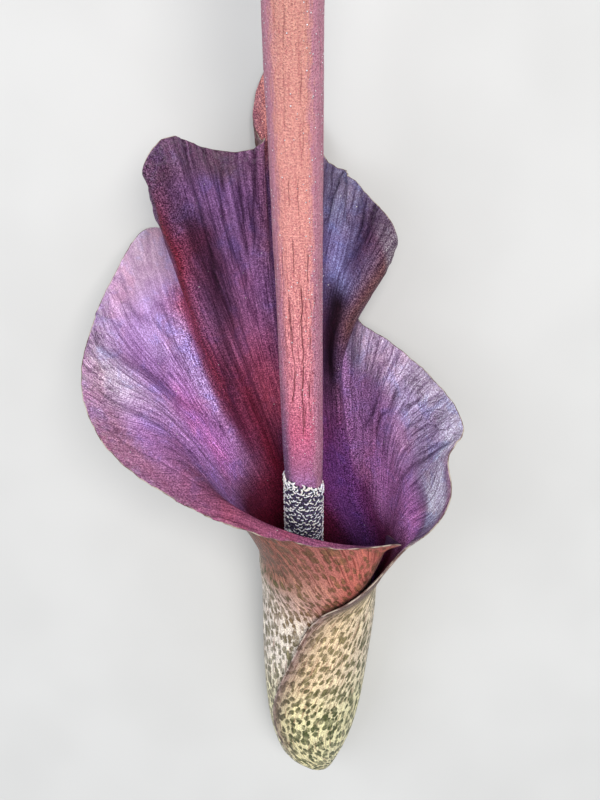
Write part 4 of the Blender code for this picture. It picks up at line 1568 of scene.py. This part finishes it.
def string_paths(turn, height, heading, bend, length, thick):
    """Paths of the strings: a point walks along its heading and curls, on the anthers."""
    random = np.random.default_rng(23)
    t = np.linspace(-0.5, 0.5, STRING_RINGS)[None, :]
    way = heading + bend * t
    step = length / (STRING_RINGS - 1)
    sideways, upwards = (np.cumsum(walk(way) * step, axis=1) for walk in (np.cos, np.sin))
    sideways = sideways - sideways.mean(1, keepdims=True)
    upwards = upwards - upwards.mean(1, keepdims=True)
    radius = ANTHER_CORE + ANTHER_HEIGHT * 0.80
    angle = turn + sideways / radius
    tall = np.minimum(height + upwards, HIGHEST_POLLEN)
    lift = radius + thick * 0.3 + 0.10 * np.cos(3 * t + random.uniform(0, 6, turn.shape))
    bare = ramp(tall, -1.6, -0.2)
    lift = lift + (BARE_RADIUS + thick * 0.6 - lift) * bare + 0.08 * np.maximum(tall, 0)
    middle = np.interp(tall, *zip(*SPADIX_LEAN))
    path = np.stack([middle + lift * np.sin(angle), tall, lift * np.cos(angle)], -1)
    outwards = np.stack([np.sin(angle), np.zeros_like(angle), np.cos(angle)], -1)
    girth = thick * (1 - (2 * np.abs(t)) ** 4 * 0.70) * (1 + 0.28 * np.sin(11 * t + 3 * bend))
    return path, outwards, girth


def string_faces(count, points_each):
    """Faces of count tubes with closed ends."""
    tube = grid_faces(STRING_RINGS, STRING_SIDES, closed=True)
    ends = end_faces(STRING_RINGS, STRING_SIDES)
    start = (np.arange(count) * points_each)[:, None, None]
    return (tube[None] + start).reshape(-1, 4).tolist() + (ends[None] + start).reshape(-1, 3).tolist()


def make_pollen():
    """Bent tubes on the anthers: a ring of points round each point of each path."""
    path, outwards, girth = string_paths(*(value[:, None] for value in strings_plan()))
    sidewards = unit(np.cross(unit(np.gradient(path, axis=1)), outwards))
    spin = sides_of(STRING_SIDES)[:, None]
    ring = np.cos(spin) * outwards[:, :, None] + np.sin(spin) * sidewards[:, :, None]
    tubes = path[:, :, None] + girth[..., None, None] * ring
    ends = np.stack([path[:, 0], path[:, -1]], 1)
    points = np.concatenate([tubes.reshape(len(tubes), -1, 3), ends], 1)
    print("pollen strings:", len(points))
    make_piece("pollen_strings", lay_down(points), string_faces(*points.shape[:2]), [pollen_material()])


make_pollen()

# %% [markdown]
# ## Pistils and the cut stalk
#
# The pistils stand deep in the tube: a round ovary with a short style and a yellow stigma. The
# stalk was cut level with the foot of the tube, and its cut face shows pale pith with darker
# bundles of vessels.

# %% The female zone
PISTILS_ROUND = 20
PISTIL_PITCH = 3.6
FEMALE_SIDES = PISTILS_ROUND * 9
FEMALE_RINGS = 240
OVARY_SHARE, STIGMA_SHARE = 0.62, 0.38
OVARY_WINE, OVARY_ROSE = (0.20, 0.045, 0.085), (0.34, 0.11, 0.14)
STIGMA_YELLOW = (0.62, 0.50, 0.22)


def pistil_material():
    """Wine-red ovaries with yellow stigmas."""
    material, tree, place = begin_material("pistil_skin", 0.45)
    grain = noise(tree, place, 1.2, 2.0)
    colour = blend(tree, remap(tree, grain, 0.35, 0.65), OVARY_WINE, OVARY_ROSE)
    colour = blend(tree, painted_on(tree, "stigma"), colour, STIGMA_YELLOW)
    return dress(material, colour, (grain, 0.1))


def make_female_zone():
    """The band of pistils: ovaries as domes, each with a narrow style on its middle."""
    heights = np.linspace(FEMALE_FOOT + HAIRLINE_GAP / 2, MALE_FOOT - HAIRLINE_GAP / 2, FEMALE_RINGS)
    angles = sides_of(FEMALE_SIDES)
    places = np.broadcast_arrays(angles[None, :], heights[:, None])
    side, rise = staggered(*places, PISTILS_ROUND, PISTIL_PITCH)
    d = side**2 + rise**2
    ovary = np.sqrt(np.clip(1 - d / 0.9, 0, 1)) * OVARY_SHARE
    stigma = bell(d, 0.10)
    radii = PISTIL_CORE + PISTIL_HEIGHT * np.clip(ovary + STIGMA_SHARE * stigma, 0, 1)
    make_column("female_florets", heights, angles, radii, pistil_material(), "female_zone",
                {"stigma": ramp(stigma, 0.35, 0.8)})


make_female_zone()

# %% The cut stalk
STALK_SIDES = 72
PITH, PITH_VESSEL = (0.62, 0.60, 0.36), (0.26, 0.24, 0.10)
RIND_GREEN, RIND_SPOT = (0.10, 0.14, 0.05), (0.42, 0.44, 0.22)


def stalk_material():
    """Green rind with pale spots, and a cut face of pale pith with darker vessels."""
    material, tree, place = begin_material("stalk_flesh", 0.5, subsurface=0.08)
    dots = remap(tree, cells(tree, place, 0.75, 0.9)[0], 0.12, 0.30, 1.0, 0.0)
    pith = blend(tree, times(tree, dots, 0.6), PITH, PITH_VESSEL)
    patch = remap(tree, noise(tree, place, 0.35, 3.0), 0.44, 0.56)
    rind = blend(tree, patch, RIND_GREEN, RIND_SPOT)
    return dress(material, blend(tree, painted_on(tree, "cut"), rind, pith), (dots, 0.12))


def make_stalk():
    """A turned plug: the cut face, a worn edge, the side, and the top under the pistils."""
    foot, top = PEDUNCLE_FOOT, FEMALE_FOOT - HAIRLINE_GAP / 2
    r = PEDUNCLE_RADIUS
    profile = [(foot + 0.1, 0.35 * r), (foot + 0.02, 0.7 * r), (foot, 0.9 * r), (foot + 0.15, 0.96 * r),
               (foot + 0.8, r - 0.05), (foot + 3, r), (top - 1, r), (top - 0.1, 0.94 * r), (top, 0.5 * r)]
    heights, radii = (np.array(column) for column in zip(*profile))
    angles = sides_of(STALK_SIDES)
    shape = radii[:, None] * (1 + 0.012 * np.sin(5 * angles) * (radii < r)[:, None])
    cut = np.broadcast_to((1 - ramp(heights, foot + 0.1, foot + 0.9))[:, None], shape.shape)
    make_column("cut_stalk", heights, angles, shape, stalk_material(), "peduncle", {"cut": cut})


make_stalk()

# %% [markdown]
# ## Floor and light
#
# A plain pale floor and soft light. The key lamp, as broad as a window, hangs high above, a
# little to the right and past the tip of the spike. A weaker one stands high on the left, and a
# pale blue-grey world fills the shadows. All are far away, so the light is even along the spike.


# %% Studio
def add_lamp(name, place, aim, size, power, colour):
    """A square area lamp at place, turned to aim."""
    data = bpy.data.lights.new(name, "AREA")
    data.size = size
    data.energy = power
    data.color = colour
    lamp = bpy.data.objects.new(name, data)
    bpy.context.scene.collection.objects.link(lamp)
    turn = (Vector(aim) - Vector(place)).to_track_quat("-Z", "Y")
    lamp.matrix_world = Matrix.Translation(place) @ turn.to_matrix().to_4x4()


FLOOR_SIZE = 8  # metres
FLOOR_DARK, FLOOR_LIGHT = (0.52, 0.515, 0.50), (0.55, 0.545, 0.53)
SKY, SKY_STRENGTH = (0.86, 0.92, 1.0), 0.55


def add_floor():
    """A wide pale floor with a faint mottle, which isn't part of the flower head."""
    bpy.ops.mesh.primitive_plane_add(size=FLOOR_SIZE, location=(0, 0, 0))
    floor = bpy.context.object
    floor.name = "floor"
    material, tree, place = begin_material("floor_paint", 0.8)
    mottle = remap(tree, noise(tree, place, 0.01, 2.0), 0.3, 0.7)
    floor.data.materials.append(dress(material, blend(tree, mottle, FLOOR_DARK, FLOOR_LIGHT)))


def add_world():
    """A pale blue-grey sky all round."""
    world = bpy.data.worlds.new("studio")
    world.use_nodes = True
    background = world.node_tree.nodes["Background"]
    background.inputs["Color"].default_value = (*SKY, 1)
    background.inputs["Strength"].default_value = SKY_STRENGTH
    bpy.context.scene.world = world


# Each lamp's place, aim, size, power and colour.
LAMPS = {
    "key": ((0.30, 0.45, 2.0), (0, -0.05, 0.05), 1.1, 44, (1.0, 0.98, 0.96)),
    "fill": ((-1.3, 0.5, 1.7), (0, 0, 0.05), 1.4, 14, (0.90, 0.93, 1.0)),
}

add_floor()
add_world()
for lamp_name, lamp in LAMPS.items():
    add_lamp(lamp_name, *lamp)
bpy.context.scene.view_settings.view_transform = "Standard"
print("lamps:", list(LAMPS))
